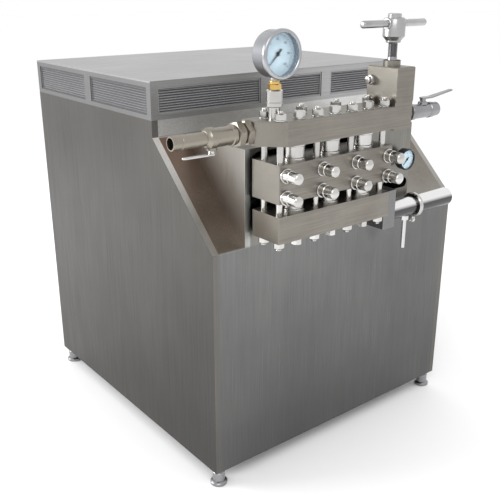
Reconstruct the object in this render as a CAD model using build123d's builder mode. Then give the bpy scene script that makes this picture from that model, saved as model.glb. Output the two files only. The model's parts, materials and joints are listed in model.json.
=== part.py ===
from build123d import *
import os
from math import atan2, cos, radians, sin, sqrt

os.makedirs("parts", exist_ok=True)

# All sizes are in millimetres. +X is to the right, +Y to the back and +Z up.
# The floor is Z = 0, and the origin is the middle of the whole machine's box on the floor.

# Cabinet
cabinet_width = 900.0
cabinet_depth = 940.0
cabinet_height = 1005.0
foot_height = 50.0
sheet = 2.0
tray_flange = 18.0
slope_setback = 254.0
slope_low_drop = 384.0
slope_high_drop = 140.0
vent_band_height = 97.0
vent_rail = 12.0
vent_corner = 20.0
vent_divider = 36.0
front_divider_from_left = [370.0, 600.0]
lid_thickness = 4.0
blade_count = 10
blade_thickness = 1.2

# Box that comes forward out of the slope, round the pump head
box_from_left = 98.0
box_width = 597.0
window_from_left = 115.0
window_width = 400.0
window_under_plate = 4.0
window_over_block = 12.0
window_corner = 25.0
slot_width = 104.0
slot_height = 28.0
slot_from_box_right = 57.0
slot_over_inlet = 49.0

# Louvres of the rear panel
louvre_rows = 9
louvre_columns = 3
louvre_length = 190.0
louvre_slot = 8.0
louvre_row_gap = 26.0
louvre_column_gap = 240.0
louvre_height = 300.0
hood_depth = 6.0

# Welded frame under the sheets
angle_leg = 40.0
angle_wall = 4.0

# Feet
foot_inset = 24.0
foot_post_diameter = 34.0
foot_pad_diameter = 46.0
foot_pad_height = 12.0
foot_nut_size = 30.0
foot_nut_height = 10.0
foot_stem_diameter = 16.0

# Pump head
head_from_left = 302.0
head_reach = 110.0
head_depth = 100.0
station_depth = 38.0
block_width = 380.0
block_drop = 253.0
block_height = 92.0
plunger_pitch = 114.0
plunger_count = 3
lower_sleeve_height = 31.0
lower_plate_height = 66.0
upper_sleeve_height = 40.0
upper_plate_height = 57.0
upper_plate_overhang = 30.0
plate_corner_cut = 54.0
edge_chamfer = 2.0
tie_rod_diameter = 16.0
tie_rod_inset = 22.0
tie_nut_size = 24.0
tie_nut_height = 16.0
tie_thread_over = 6.0
sleeve_diameter = 55.0
sleeve_bore = 40.0
valve_bore = 44.0
cap_nut_diameter = 31.0
cap_nut_length = 46.0
cap_nut_row_gap = 52.0
cap_nut_row_drop = 5.0
cap_washer_diameter = 36.0
cap_washer_thickness = 5.0
cap_nut_chamfer = 2.5
cover_bolt_size = 24.0
cover_bolt_height = 18.0
stud_diameter = 16.0
stud_depth = 12.0
ball_diameter = 30.0
ball_lift = 6.0
seat_height = 14.0
seat_bore = 22.0
ball_clearance = 0.05
ball_room = 6.0
gallery_diameter = 26.0
discharge_diameter = 22.0

# Plungers, their packings and crossheads
plunger_diameter = 36.0
stroke = 50.0
plunger_length = 120.0
plunger_clearance = 0.08
stuffing_diameter = 84.0
stuffing_length = 62.0
packing_length = 24.0
packing_wall = 8.0
gland_length = 14.0
gland_diameter = 60.0
packing_start = 30.0
tip_clearance = 5.0
crosshead_bore = 56.0
crosshead_crown = 18.0
wrist_pin_diameter = 24.0
wrist_pin_inset = 3.0
crosshead_diameter = 80.0
crosshead_length = 90.0
crosshead_rod_diameter = 28.0
coupling_diameter = 54.0
coupling_length = 30.0
crosshead_clearance = 0.1
seal_plate_diameter = 70.0
seal_plate_thickness = 10.0

# Crankcase and crankshaft
crankcase_wall = 14.0
crankcase_width = 388.0
crankcase_front_gap = 190.0
crank_axis_from_front = 440.0
crank_chamber_radius = 98.0
guide_housing_half_height = 54.0
crank_journal_diameter = 60.0
crank_eccentric_diameter = 96.0
crank_eccentric_width = 70.0
bearing_cap_diameter = 150.0
bearing_cap_thickness = 12.0
running_clearance = 0.06
stand_plate = 12.0
stand_foot_width = 70.0
stand_foot_reach = 60.0
stand_window_width = 200.0
stand_window_height = 420.0
stand_window_corner = 30.0
stand_top_window = 260.0

# Belt drive
motor_diameter = 300.0
motor_length = 400.0
motor_from_left = 130.0
motor_axis_from_front = 760.0
motor_shaft_height = 160.0
motor_shaft_diameter = 42.0
motor_shaft_length = 110.0
motor_fin_count = 28
motor_fin_height = 12.0
motor_fin_width = 6.0
fan_cover_length = 80.0
motor_foot_gap = 254.0
motor_foot_thickness = 18.0
motor_foot_span = 210.0
motor_foot_length = 60.0
motor_foot_width = 60.0
motor_leg_width = 30.0
motor_fin_root = 6.0
motor_end_shield = 30.0
terminal_box_size = 120.0
terminal_box_height = 60.0
fan_diameter = 240.0
fan_hub_diameter = 60.0
fan_blade_count = 8
fan_blade_thickness = 3.0
fan_width = 24.0
fan_gap = 20.0
motor_pulley_diameter = 125.0
driven_pulley_diameter = 350.0
pulley_from_left = 580.0
belt_count = 4
belt_pitch = 19.0
belt_width = 11.6
belt_thickness = 11.0
belt_sink = 1.0
groove_width = 17.8
groove_taper = 3.0
groove_depth = 13.0
pulley_edge = 2.0
pulley_recess = 28.0
pulley_hub_wall = 25.0

# Homogenizing valve and its T-handle
valve_block_width = 66.0
valve_block_overhang = 4.0
valve_block_height = 70.0
valve_body_height = 85.0
valve_chamber_diameter = 44.0
valve_chamber_depth = 15.0
valve_port_diameter = 14.0
valve_seat_height = 6.0
valve_plug_diameter = 24.0
valve_plug_height = 9.0
valve_stem_diameter = 12.0
valve_stem_height = 10.0
impact_ring_bore = 27.0
insert_clearance = 0.2
follower_diameter = 38.0
follower_height = 6.0
bonnet_diameter = 44.0
bonnet_height = 14.0
spindle_diameter = 24.0
spindle_clearance = 0.1
hub_diameter = 56.0
hub_over_valve = 57.0
hub_height = 60.0
hub_neck_diameter = 38.0
hub_neck_height = 14.0
hub_cap_diameter = 34.0
hub_cap_height = 10.0
handle_bar_diameter = 18.0
handle_bar_length = 232.0
handle_bar_over_hub = 46.0
spring_disc_count = 6
spring_disc_thickness = 2.6
spring_disc_diameter = 40.0
spring_disc_bore = 20.0
spring_disc_rise = 2.6
spring_seat_diameter = 42.0
spring_seat_height = 10.0
seat_gap = 0.2
side_plug_size = 22.0
side_plug_diameter = 18.0
side_plug_length = 22.0
side_plug_drop = 35.0
side_plug_inset = 18.0
outlet_port_depth = 15.0

# Main pressure gauge, on the upper plate's left end
gauge_from_left = 136.0
gauge_centre_over_nut = 58.0
gauge_diameter = 110.0
gauge_case_diameter = 104.0
gauge_case_depth = 38.0
gauge_bezel_depth = 12.0
gauge_bezel_lip = 3.0
gauge_window = 92.0
gauge_recess_diameter = 97.0
gauge_recess_depth = 12.0
gauge_dial_thickness = 1.5
gauge_lens_thickness = 2.0
gauge_needle_length = 38.0
gauge_needle_tail = 14.0
gauge_needle_width = 4.0
gauge_needle_hub = 10.0
gauge_needle_gap = 2.0
needle_zero_angle = 225.0
needle_thickness = 1.0
needle_pin_gap = 0.3
gauge_stem_diameter = 38.0
gauge_stem_height = 66.0
gauge_stem_waist = 26.0
gauge_stem_foot = 28.0
gauge_nut_size = 27.0
gauge_nut_height = 20.0
gauge_socket_diameter = 20.0
gauge_case_edge = 5.0
gauge_bore = 8.0

# Small oil gauge on the front of the box
small_gauge_from_box_right = 55.0
small_gauge_over_slot = 78.0
small_gauge_diameter = 60.0
small_gauge_depth = 26.0
small_gauge_recess_diameter = 52.0
small_gauge_recess_depth = 7.0
small_gauge_neck_length = 16.0
small_gauge_neck_diameter = 18.0
small_gauge_needle_length = 21.0
small_gauge_needle_tail = 8.0
small_gauge_needle_width = 2.6
small_gauge_needle_hub = 6.0
small_gauge_needle_gap = 1.5

# Left pipe: a union at the upper plate and a small cock with a lever below it
left_pipe_reach = 127.0
union_nut_diameter = 54.0
union_nut_length = 19.0
union_gap = 4.0
union_pipe_diameter = 38.0
left_cock_diameter = 48.0
left_cock_length = 78.0
left_spigot_diameter = 32.0
left_spigot_bore = 26.0
left_spigot_bore_depth = 60.0
left_stem_from_union = 60.0
cock_stem_inset = 12.0
cock_stem_diameter = 16.0
left_stem_drop = 34.0
lever_thickness = 4.0
lever_gap = 0.3
left_lever_length = 78.0
left_lever_width = 18.0
left_lever_tip_width = 12.0

# Right outlet: a cock on the valve block, with its lever above it
outlet_over_valve_low = 28.0
outlet_neck_diameter = 30.0
outlet_neck_length = 46.0
outlet_cock_diameter = 42.0
outlet_cock_length = 92.0
outlet_end_diameter = 38.0
outlet_end_length = 20.0
outlet_end_bore = 34.0
outlet_stem_from_neck = 56.0
outlet_stem_rise = 32.0
outlet_lever_flat = 30.0
outlet_lever_length = 118.0
outlet_lever_root_width = 20.0
outlet_lever_tip_width = 11.0
outlet_lever_rise = 12.0

# Inlet below at the right: a block on the lower plate, the pipe with its clamp, and a drain tube
inlet_under_plate = 10.0
inlet_block_width = 45.0
inlet_block_depth = 70.0
inlet_block_above = 28.0
inlet_block_below = 34.0
inlet_block_bore_depth = 30.0
inlet_diameter = 51.0
inlet_wall = 1.5
inlet_reach = 260.0
inlet_ferrule_diameter = 64.0
inlet_ferrule_length = 6.0
inlet_clamp_from_block = 115.0
inlet_clamp_diameter = 70.0
inlet_clamp_width = 13.0
clamp_wing = 18.0
clamp_wing_sink = 3.0
drain_diameter = 12.0
drain_from_block = 83.0
drain_bore = 9.0
drain_reach = 121.0
drain_nut_size = 19.0
drain_nut_height = 14.0

# Places worked out from the sizes above
front_reach = head_reach + cap_washer_thickness + cap_nut_length
left = (left_pipe_reach - cabinet_width) / 2
right = left + cabinet_width
front = (front_reach - cabinet_depth - hood_depth) / 2
back = front + cabinet_depth
bottom = foot_height
top = foot_height + cabinet_height
slope_low = top - slope_low_drop
slope_high = top - slope_high_drop
upper_front = front + slope_setback
vent_low = top - vent_band_height
body_depth = cabinet_depth - slope_setback
body_middle_y = upper_front + body_depth / 2
middle_x = (left + right) / 2
middle_y = (front + back) / 2

head_x = left + head_from_left
head_front = front - head_reach
head_back = head_front + head_depth
valve_y = head_front + head_depth / 2
station_y = head_front + station_depth
block_bottom = top - block_drop
block_top = block_bottom + block_height
plunger_z = block_bottom + block_height / 2
block_left = head_x - block_width / 2
block_right = head_x + block_width / 2
lower_plate_top = block_bottom - lower_sleeve_height
lower_plate_bottom = lower_plate_top - lower_plate_height
upper_plate_bottom = block_top + upper_sleeve_height
upper_plate_top = upper_plate_bottom + upper_plate_height
upper_plate_left = block_left - upper_plate_overhang
station_x = [head_x + (i - (plunger_count - 1) / 2) * plunger_pitch for i in range(plunger_count)]
column_x = [head_x + (i - plunger_count / 2) * plunger_pitch for i in range(plunger_count + 1)]
tie_rod_y = [head_front + tie_rod_inset, head_back - tie_rod_inset]
tie_rod_places = [(x, y) for x in column_x for y in tie_rod_y]

cap_nut_middle = plunger_z - cap_nut_row_drop
cap_nut_z = [cap_nut_middle - cap_nut_row_gap / 2, cap_nut_middle + cap_nut_row_gap / 2]
sleeve_spans = [(lower_plate_top, block_bottom), (block_top, upper_plate_bottom)]
ball_rest = sqrt(ball_diameter**2 - seat_bore**2) / 2 + ball_clearance
ball_pocket = ball_lift + ball_room
suction_z = lower_plate_bottom + lower_plate_height / 2
gallery_z = upper_plate_bottom + upper_plate_height / 2
gauge_x = left + gauge_from_left
left_pipe_y = (head_front + plate_corner_cut + head_back) / 2
inlet_z = lower_plate_bottom - inlet_under_plate
slot_z = inlet_z + slot_over_inlet
plunger_bore = plunger_diameter + 2 * plunger_clearance
packing_outer = plunger_bore + 2 * packing_wall
throw = stroke / 2
case_front = front + crankcase_front_gap
crank_y = front + crank_axis_from_front
case_left = head_x - crankcase_width / 2
case_right = case_left + crankcase_width
case_back = crank_y + crank_chamber_radius + crankcase_wall
case_bottom = plunger_z - crank_chamber_radius - crankcase_wall
crosshead_middle = case_front + crankcase_wall + throw + tip_clearance + crosshead_length / 2
plunger_tip_middle = station_y + valve_bore / 2 + tip_clearance + throw
pulley_width = belt_count * belt_pitch + 2 * pulley_edge
pulley_left = left + pulley_from_left
pulley_right = pulley_left + pulley_width
pulley_middle = (pulley_left + pulley_right) / 2
belt_x = [pulley_middle + (i - (belt_count - 1) / 2) * belt_pitch for i in range(belt_count)]
motor_left = left + motor_from_left
motor_y = front + motor_axis_from_front
motor_z = foot_height + sheet + angle_leg + motor_shaft_height
cross_bar_y = [
    case_front + stand_foot_width / 2,
    case_back - stand_foot_width / 2,
    motor_y - motor_foot_gap / 2,
    motor_y + motor_foot_gap / 2,
]
crank_phase = [120.0 * i for i in range(plunger_count)]
crank_offset = [throw * cos(radians(phase)) for phase in crank_phase]


def level(z):
    """A horizontal plane at height z, facing up."""
    return Plane.XY.offset(z)


def facing_front(y):
    """An upright plane at depth y, facing the front, with X to the right and Z up."""
    return Plane.XZ.offset(-y)


def facing_right(x):
    """An upright plane at x, facing right, whose own axes are the machine's Y and Z."""
    return Plane.YZ.offset(x)


def save(piece, name):
    """Label a finished piece and write it as a STEP file."""
    piece.label = name
    export_step(piece, f"parts/{name}.step")


def rod(plane, x, y, diameter, length):
    """A round bar standing on a plane at its own x and y."""
    with BuildSketch(plane) as profile:
        with Locations((x, y)):
            Circle(diameter / 2)
    extrude(profile.sketch, amount=length)


def hole(plane, x, y, diameter, length):
    """A round hole cut from a plane at its own x and y."""
    with BuildSketch(plane) as profile:
        with Locations((x, y)):
            Circle(diameter / 2)
    extrude(profile.sketch, amount=length, mode=Mode.SUBTRACT)


def ring(plane, x, y, outer, inner, length):
    """A round sleeve standing on a plane at its own x and y."""
    with BuildSketch(plane) as profile:
        with Locations((x, y)):
            Circle(outer / 2)
            Circle(inner / 2, mode=Mode.SUBTRACT)
    extrude(profile.sketch, amount=length)


def ring_cut(plane, x, y, outer, inner, length):
    """A round recess round a boss, cut into a plane at its own x and y."""
    with BuildSketch(plane) as profile:
        with Locations((x, y)):
            Circle(outer / 2)
            Circle(inner / 2, mode=Mode.SUBTRACT)
    extrude(profile.sketch, amount=length, mode=Mode.SUBTRACT)


def hex_nut(plane, x, y, across_flats, bore, height):
    """A hexagon nut standing on a plane at its own x and y."""
    with BuildSketch(plane) as profile:
        with Locations((x, y)):
            RegularPolygon(across_flats / 2, 6, major_radius=False)
            if bore:
                Circle(bore / 2, mode=Mode.SUBTRACT)
    extrude(profile.sketch, amount=height)


# Feet
foot_places = [
    (x, y)
    for x in (left + foot_inset, right - foot_inset)
    for y in (front + foot_inset, back - foot_inset)
]
foot_post_top = foot_height - foot_nut_height

with BuildPart() as feet:
    for x, y in foot_places:
        rod(level(0), x, y, foot_pad_diameter, foot_pad_height)
        rod(level(foot_pad_height), x, y, foot_post_diameter, foot_post_top - foot_pad_height)
        hex_nut(level(foot_post_top), x, y, foot_nut_size, 0, foot_nut_height)
        rod(level(foot_height), x, y, foot_stem_diameter, angle_leg / 2)
save(feet.part, "feet")

# Welded frame of angle bars, just inside the sheets
frame_left = left + sheet
frame_right = right - sheet
frame_front = front + sheet
frame_back = back - sheet
frame_bottom = bottom + sheet
frame_width = frame_right - frame_left
frame_depth = frame_back - frame_front
rail_top = vent_low - sheet
bar_height = angle_leg - angle_wall
bar_top = frame_bottom + angle_leg
rear_depth = frame_back - (upper_front + sheet)
rear_middle_y = (frame_back + upper_front + sheet) / 2

with BuildPart() as base_frame:
    with BuildSketch(level(frame_bottom)):
        with Locations((middle_x, middle_y)):
            Rectangle(frame_width, frame_depth)
            Rectangle(frame_width - 2 * angle_leg, frame_depth - 2 * angle_leg, mode=Mode.SUBTRACT)
    extrude(amount=angle_wall)
    with BuildSketch(level(frame_bottom)):
        with Locations((middle_x, middle_y)):
            Rectangle(frame_width, frame_depth)
            Rectangle(frame_width - 2 * angle_wall, frame_depth - 2 * angle_wall, mode=Mode.SUBTRACT)
    extrude(amount=angle_leg)
    with BuildSketch(level(frame_bottom)):
        with Locations((middle_x, frame_front + angle_leg / 2)):
            with GridLocations(frame_width - angle_leg, angle_leg, 2, 1):
                Rectangle(angle_leg, angle_leg)
        with Locations((middle_x, frame_front + angle_wall + frame_depth / 2)):
            Rectangle(frame_width - 2 * angle_wall, frame_depth, mode=Mode.SUBTRACT)
    extrude(amount=slope_low - sheet - frame_bottom)
    with BuildSketch(level(frame_bottom)):
        with Locations((middle_x, rear_middle_y)):
            with GridLocations(frame_width - angle_leg, rear_depth - angle_leg, 2, 2):
                Rectangle(angle_leg, angle_leg)
            Rectangle(frame_width - 2 * angle_wall, rear_depth - 2 * angle_wall, mode=Mode.SUBTRACT)
    extrude(amount=rail_top - frame_bottom)
    with BuildSketch(level(rail_top)):
        with Locations((middle_x, rear_middle_y)):
            Rectangle(frame_width, rear_depth)
            Rectangle(frame_width - 2 * angle_wall, rear_depth - 2 * angle_wall, mode=Mode.SUBTRACT)
    extrude(amount=-angle_leg)
    for cross_y in cross_bar_y:
        with BuildSketch(facing_right(frame_left + angle_wall)):
            with Locations((cross_y, frame_bottom + angle_wall)):
                Rectangle(angle_leg, bar_height, align=(Align.CENTER, Align.MIN))
                Rectangle(
                    angle_leg - 2 * angle_wall,
                    bar_height - angle_wall,
                    align=(Align.CENTER, Align.MIN),
                    mode=Mode.SUBTRACT,
                )
        extrude(amount=frame_width - 2 * angle_wall)
    for x, y in foot_places:
        hole(level(frame_bottom), x, y, foot_stem_diameter, angle_wall)
save(base_frame.part, "base_frame")

# Side panels: bent trays with a flange all round, open to the inside
side_outline = [
    (front, bottom),
    (front, slope_low),
    (upper_front, slope_high),
    (upper_front, vent_low),
    (back, vent_low),
    (back, bottom),
]


def side_tray(x, inward):
    """A side sheet with its edges folded inward; inward is 1 to the right or -1 to the left."""
    with BuildPart() as tray:
        with BuildSketch(facing_right(x)):
            with BuildLine():
                Polyline(side_outline, close=True)
            make_face()
        extrude(amount=inward * tray_flange)
        with BuildSketch(facing_right(x + inward * sheet)):
            with BuildLine():
                Polyline(side_outline, close=True)
            make_face()
            offset(amount=-sheet, kind=Kind.INTERSECTION)
        extrude(amount=inward * tray_flange, mode=Mode.SUBTRACT)
        for foot_x, foot_y in foot_places:
            hole(level(bottom), foot_x, foot_y, foot_stem_diameter, sheet)
    return tray.part


save(side_tray(left, 1), "left_side_panel")
save(side_tray(right, -1), "right_side_panel")

# Front panel: one sheet, with a tongue up round the pump head, its window and the slot beside it
panel_left = left + tray_flange
panel_right = right - tray_flange
box_left = left + box_from_left
box_right = box_left + box_width
window_left = left + window_from_left
window_right = window_left + window_width
window_low = lower_plate_bottom - window_under_plate
window_high = block_top + window_over_block
slot_x = box_right - slot_from_box_right
front_outline = [
    (panel_left, bottom),
    (panel_right, bottom),
    (panel_right, slope_low),
    (box_right, slope_low),
    (box_right, slope_high),
    (box_left, slope_high),
    (box_left, slope_low),
    (panel_left, slope_low),
]

with BuildPart() as front_panel:
    with BuildSketch(facing_front(front + sheet)):
        with BuildLine():
            Polyline(front_outline, close=True)
        make_face()
        with Locations(((window_left + window_right) / 2, (window_low + window_high) / 2)):
            RectangleRounded(window_width, window_high - window_low, window_corner, mode=Mode.SUBTRACT)
        with Locations((slot_x, slot_z)):
            SlotOverall(slot_width, slot_height, mode=Mode.SUBTRACT)
    extrude(amount=sheet)
save(front_panel.part, "front_panel")

# Side walls and roof of the box, one folded sheet behind the tongue
slope_angle = atan2(slope_high - slope_low, slope_setback)
slope_sheet_drop = sheet / cos(slope_angle)
box_side_outline = [
    (front + sheet, slope_high),
    (front + sheet, slope_low),
    (upper_front, slope_high),
]

with BuildPart() as head_box:
    with BuildSketch(facing_right(box_left)):
        with BuildLine():
            Polyline(box_side_outline, close=True)
        make_face()
    extrude(amount=box_width)
    with BuildSketch(facing_right(box_left + sheet)):
        with BuildLine():
            Polyline(
                (front + sheet, slope_high - sheet),
                (front + sheet, bottom),
                (upper_front, slope_high - sheet),
                close=True,
            )
        make_face()
    extrude(amount=box_width - 2 * sheet, mode=Mode.SUBTRACT)
save(head_box.part, "head_box")


def slope_strip(x_start, x_end):
    """A sheet lying on the slope between two upright sheets."""
    with BuildPart() as strip:
        with BuildSketch(facing_right(x_start)):
            with BuildLine():
                Polyline(
                    (front, slope_low),
                    (upper_front, slope_high),
                    (upper_front, slope_high - slope_sheet_drop),
                    (front, slope_low - slope_sheet_drop),
                    close=True,
                )
            make_face()
        extrude(amount=x_end - x_start)
        with BuildSketch(facing_front(front)):
            with Locations(((x_start + x_end) / 2, slope_low)):
                Rectangle(x_end - x_start, 2 * slope_sheet_drop)
        extrude(amount=-sheet, mode=Mode.SUBTRACT)
    return strip.part


# The two slope strips, and the upright strip over the slope
left_strip = slope_strip(panel_left, box_left)
right_strip = slope_strip(box_right, panel_right)

with BuildPart() as slope_panels:
    add(left_strip)
    add(right_strip)
    with BuildSketch(facing_front(upper_front + sheet)):
        with Locations((middle_x, (slope_high + vent_low) / 2)):
            Rectangle(panel_right - panel_left, vent_low - slope_high)
    extrude(amount=sheet)
save(slope_panels.part, "slope_panels")

# Rear panel with its louvres
with BuildPart() as rear_panel:
    with BuildSketch(facing_front(back)):
        with Locations((middle_x, (bottom + vent_low) / 2)):
            Rectangle(panel_right - panel_left, vent_low - bottom)
        with Locations((middle_x, bottom + louvre_height)):
            with GridLocations(louvre_column_gap, louvre_row_gap, louvre_columns, louvre_rows):
                Rectangle(louvre_length, louvre_slot, mode=Mode.SUBTRACT)
    extrude(amount=sheet)
    for row in range(louvre_rows):
        louvre_z = bottom + louvre_height + (row - (louvre_rows - 1) / 2) * louvre_row_gap
        for column in range(louvre_columns):
            louvre_x = middle_x + (column - (louvre_columns - 1) / 2) * louvre_column_gap
            with BuildSketch(facing_right(louvre_x - louvre_length / 2)):
                with BuildLine():
                    Polyline(
                        (back, louvre_z + louvre_slot),
                        (back + hood_depth, louvre_z - louvre_slot / 2),
                        (back + hood_depth - sheet, louvre_z - louvre_slot / 2),
                        (back, louvre_z + louvre_slot / 2),
                        close=True,
                    )
                make_face()
            extrude(amount=louvre_length)
save(rear_panel.part, "rear_panel")

# Vent band round the top: a four-sided sheet frame with windows, and its louvred grilles
vent_middle_z = (vent_low + top - lid_thickness) / 2
vent_height = top - lid_thickness - vent_low
window_height = vent_height - 2 * vent_rail
side_divider_y = body_middle_y
front_dividers = [left + divider for divider in front_divider_from_left]


def spans(start, end, dividers):
    """Clear windows between two corner posts and the divider posts."""
    edges = [start + vent_corner]
    for divider in dividers:
        edges += [divider - vent_divider / 2, divider + vent_divider / 2]
    edges.append(end - vent_corner)
    return list(zip(edges[0::2], edges[1::2]))


front_windows = spans(left, right, front_dividers)
side_windows = spans(upper_front, back, [side_divider_y])
rear_windows = spans(left, right, [middle_x])

with BuildPart() as vent_frame:
    with BuildSketch(level(vent_low)):
        with Locations((middle_x, body_middle_y)):
            Rectangle(cabinet_width, body_depth)
            Rectangle(cabinet_width - 2 * sheet, body_depth - 2 * sheet, mode=Mode.SUBTRACT)
    extrude(amount=vent_height)
    for start, end in front_windows:
        with BuildSketch(facing_front(upper_front)):
            with Locations(((start + end) / 2, vent_middle_z)):
                Rectangle(end - start, window_height)
        extrude(amount=-sheet, mode=Mode.SUBTRACT)
    for start, end in rear_windows:
        with BuildSketch(facing_front(back)):
            with Locations(((start + end) / 2, vent_middle_z)):
                Rectangle(end - start, window_height)
        extrude(amount=sheet, mode=Mode.SUBTRACT)
    for start, end in side_windows:
        with BuildSketch(facing_right(left)):
            with Locations(((start + end) / 2, vent_middle_z)):
                Rectangle(end - start, window_height)
        extrude(amount=cabinet_width, mode=Mode.SUBTRACT)
save(vent_frame.part, "vent_frame")

grille_margin = 6.0
grille_rim = 5.0
blade_depth = 5.0
blade_setback = 0.5
blade_pitch = (window_height - grille_rim) / blade_count
blade_heights = [vent_middle_z + (i - (blade_count - 1) / 2) * blade_pitch for i in range(blade_count)]


def grille(rim_plane, rim_amount, blade_plane, inner, inward, start, end):
    """A louvred grille behind a window: a rim, with blades that slope up to the inside."""
    blade_front = inner + inward * blade_setback
    blade_back = blade_front + inward * blade_depth
    with BuildPart() as louvres:
        with BuildSketch(rim_plane):
            with Locations(((start + end) / 2, vent_middle_z)):
                Rectangle(end - start + 2 * grille_margin, window_height + 2 * grille_margin)
                Rectangle(end - start - 2 * grille_rim, window_height - 2 * grille_rim, mode=Mode.SUBTRACT)
        extrude(amount=rim_amount)
        for z in blade_heights:
            with BuildSketch(blade_plane):
                with BuildLine():
                    Polyline(
                        (blade_front, z - blade_depth / 2),
                        (blade_front, z - blade_depth / 2 + blade_thickness),
                        (blade_back, z + blade_depth / 2 + blade_thickness),
                        (blade_back, z + blade_depth / 2),
                        close=True,
                    )
                make_face()
            extrude(amount=end - start)
    return louvres.part


grilles = []
for start, end in front_windows:
    inner = upper_front + sheet
    grilles.append(grille(facing_front(inner), -sheet, facing_right(start), inner, 1, start, end))
for start, end in rear_windows:
    inner = back - sheet
    grilles.append(grille(facing_front(inner), sheet, facing_right(start), inner, -1, start, end))
for start, end in side_windows:
    inner = left + sheet
    grilles.append(grille(facing_right(inner), sheet, facing_front(end), inner, 1, start, end))
    inner = right - sheet
    grilles.append(grille(facing_right(inner), -sheet, facing_front(end), inner, -1, start, end))
save(Compound(grilles), "vent_grilles")

# Lid: a flat sheet with a lip inside the vent band
lip_outer_width = cabinet_width - 2 * sheet - 1
lip_outer_depth = body_depth - 2 * sheet - 1

with BuildPart() as top_cover:
    with BuildSketch(level(top - lid_thickness)):
        with Locations((middle_x, body_middle_y)):
            Rectangle(cabinet_width, body_depth)
    extrude(amount=lid_thickness)
    with BuildSketch(level(top - lid_thickness)):
        with Locations((middle_x, body_middle_y)):
            Rectangle(lip_outer_width, lip_outer_depth)
            Rectangle(lip_outer_width - 2 * sheet, lip_outer_depth - 2 * sheet, mode=Mode.SUBTRACT)
    extrude(amount=-(vent_rail - grille_margin))
save(top_cover.part, "top_cover")

# Pump block: three stations, each a cross of an upright valve bore and a level plunger bore
with BuildPart() as pump_block:
    with BuildSketch(level(block_bottom)):
        with Locations((head_x, valve_y)):
            Rectangle(block_width, head_depth)
    extrude(amount=block_height)
    chamfer(pump_block.faces().sort_by(Axis.Y)[0].edges(), length=edge_chamfer)
    for x in station_x:
        hole(level(block_bottom), x, station_y, valve_bore, block_height)
        hole(facing_front(head_back), x, plunger_z, plunger_bore, head_back - station_y)
    for x, y in tie_rod_places:
        hole(level(block_bottom), x, y, tie_rod_diameter, block_height)
    for x in column_x:
        for z in cap_nut_z:
            hole(facing_front(head_front + stud_depth), x, z, stud_diameter, stud_depth)
save(pump_block.part, "pump_block")

# Lower plate, which brings the product in: a bore along it feeds the three suction valves
with BuildPart() as lower_plate:
    with BuildSketch(level(lower_plate_bottom)):
        with Locations((head_x, valve_y)):
            Rectangle(block_width, head_depth)
    extrude(amount=lower_plate_height)
    chamfer(lower_plate.edges().filter_by(Axis.Z), length=edge_chamfer)
    hole(facing_right(block_right), valve_y, suction_z, gallery_diameter, station_x[0] - block_right)
    for x in station_x:
        hole(level(suction_z), x, station_y, seat_bore, lower_plate_top - suction_z)
    for x, y in tie_rod_places:
        hole(level(lower_plate_bottom), x, y, tie_rod_diameter, lower_plate_height)
save(lower_plate.part, "lower_plate")

# Upper plate, which takes the product out to the homogenizing valve; its left corner is cut off
with BuildPart() as upper_plate:
    with BuildSketch(level(upper_plate_bottom)):
        with BuildLine():
            Polyline(
                (block_right, head_front),
                (block_right, head_back),
                (upper_plate_left, head_back),
                (upper_plate_left, head_front + plate_corner_cut),
                (upper_plate_left + plate_corner_cut, head_front),
                close=True,
            )
        make_face()
    extrude(amount=upper_plate_height)
    chamfer(upper_plate.faces().sort_by(Axis.Z)[-1].edges(), length=edge_chamfer)
    hole(facing_right(block_right), valve_y, gallery_z, discharge_diameter, gauge_x - block_right)
    hole(
        facing_right(upper_plate_left),
        left_pipe_y,
        gallery_z,
        discharge_diameter,
        gauge_x - upper_plate_left,
    )
    for x in station_x:
        hole(level(upper_plate_bottom), x, station_y, seat_bore, gallery_z - upper_plate_bottom)
        hole(level(upper_plate_bottom), x, station_y, sleeve_bore, ball_pocket)
    hole(level(gallery_z), gauge_x, valve_y, gauge_bore, upper_plate_top - gallery_z)
    for x, y in tie_rod_places:
        hole(level(upper_plate_bottom), x, y, tie_rod_diameter, upper_plate_height)
save(upper_plate.part, "upper_plate")

# Tie rods from the lower plate to the upper one, each with a nut at both ends
with BuildPart() as tie_rods:
    for x, y in tie_rod_places:
        rod(
            level(lower_plate_bottom - tie_nut_height - tie_thread_over),
            x,
            y,
            tie_rod_diameter,
            upper_plate_top - lower_plate_bottom + 2 * (tie_nut_height + tie_thread_over),
        )
        hex_nut(level(upper_plate_top), x, y, tie_nut_size, 0, tie_nut_height)
        hex_nut(level(lower_plate_bottom), x, y, tie_nut_size, 0, -tie_nut_height)
    for x in station_x:
        hex_nut(level(upper_plate_top), x, tie_rod_y[0], cover_bolt_size, 0, cover_bolt_height)
        hex_nut(level(lower_plate_bottom), x, tie_rod_y[0], cover_bolt_size, 0, -cover_bolt_height)
save(tie_rods.part, "tie_rods")

# Valve sleeves: a suction seat under each plunger bore and a discharge seat over it
with BuildPart() as valve_sleeves:
    for x in station_x:
        for low, high in sleeve_spans:
            ring(level(low), x, station_y, sleeve_diameter, seat_bore, seat_height)
            seat_top = low + seat_height
            ring(level(seat_top), x, station_y, sleeve_diameter, sleeve_bore, high - seat_top)
save(valve_sleeves.part, "valve_sleeves")

# Valve balls, resting on their seats
for number, x in enumerate(station_x, start=1):
    for kind, (low, high) in zip(("suction", "discharge"), sleeve_spans):
        with BuildPart() as ball:
            with Locations((x, station_y, low + seat_height + ball_rest)):
                Sphere(ball_diameter / 2)
        save(ball.part, f"{kind}_ball_{number}")

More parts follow.
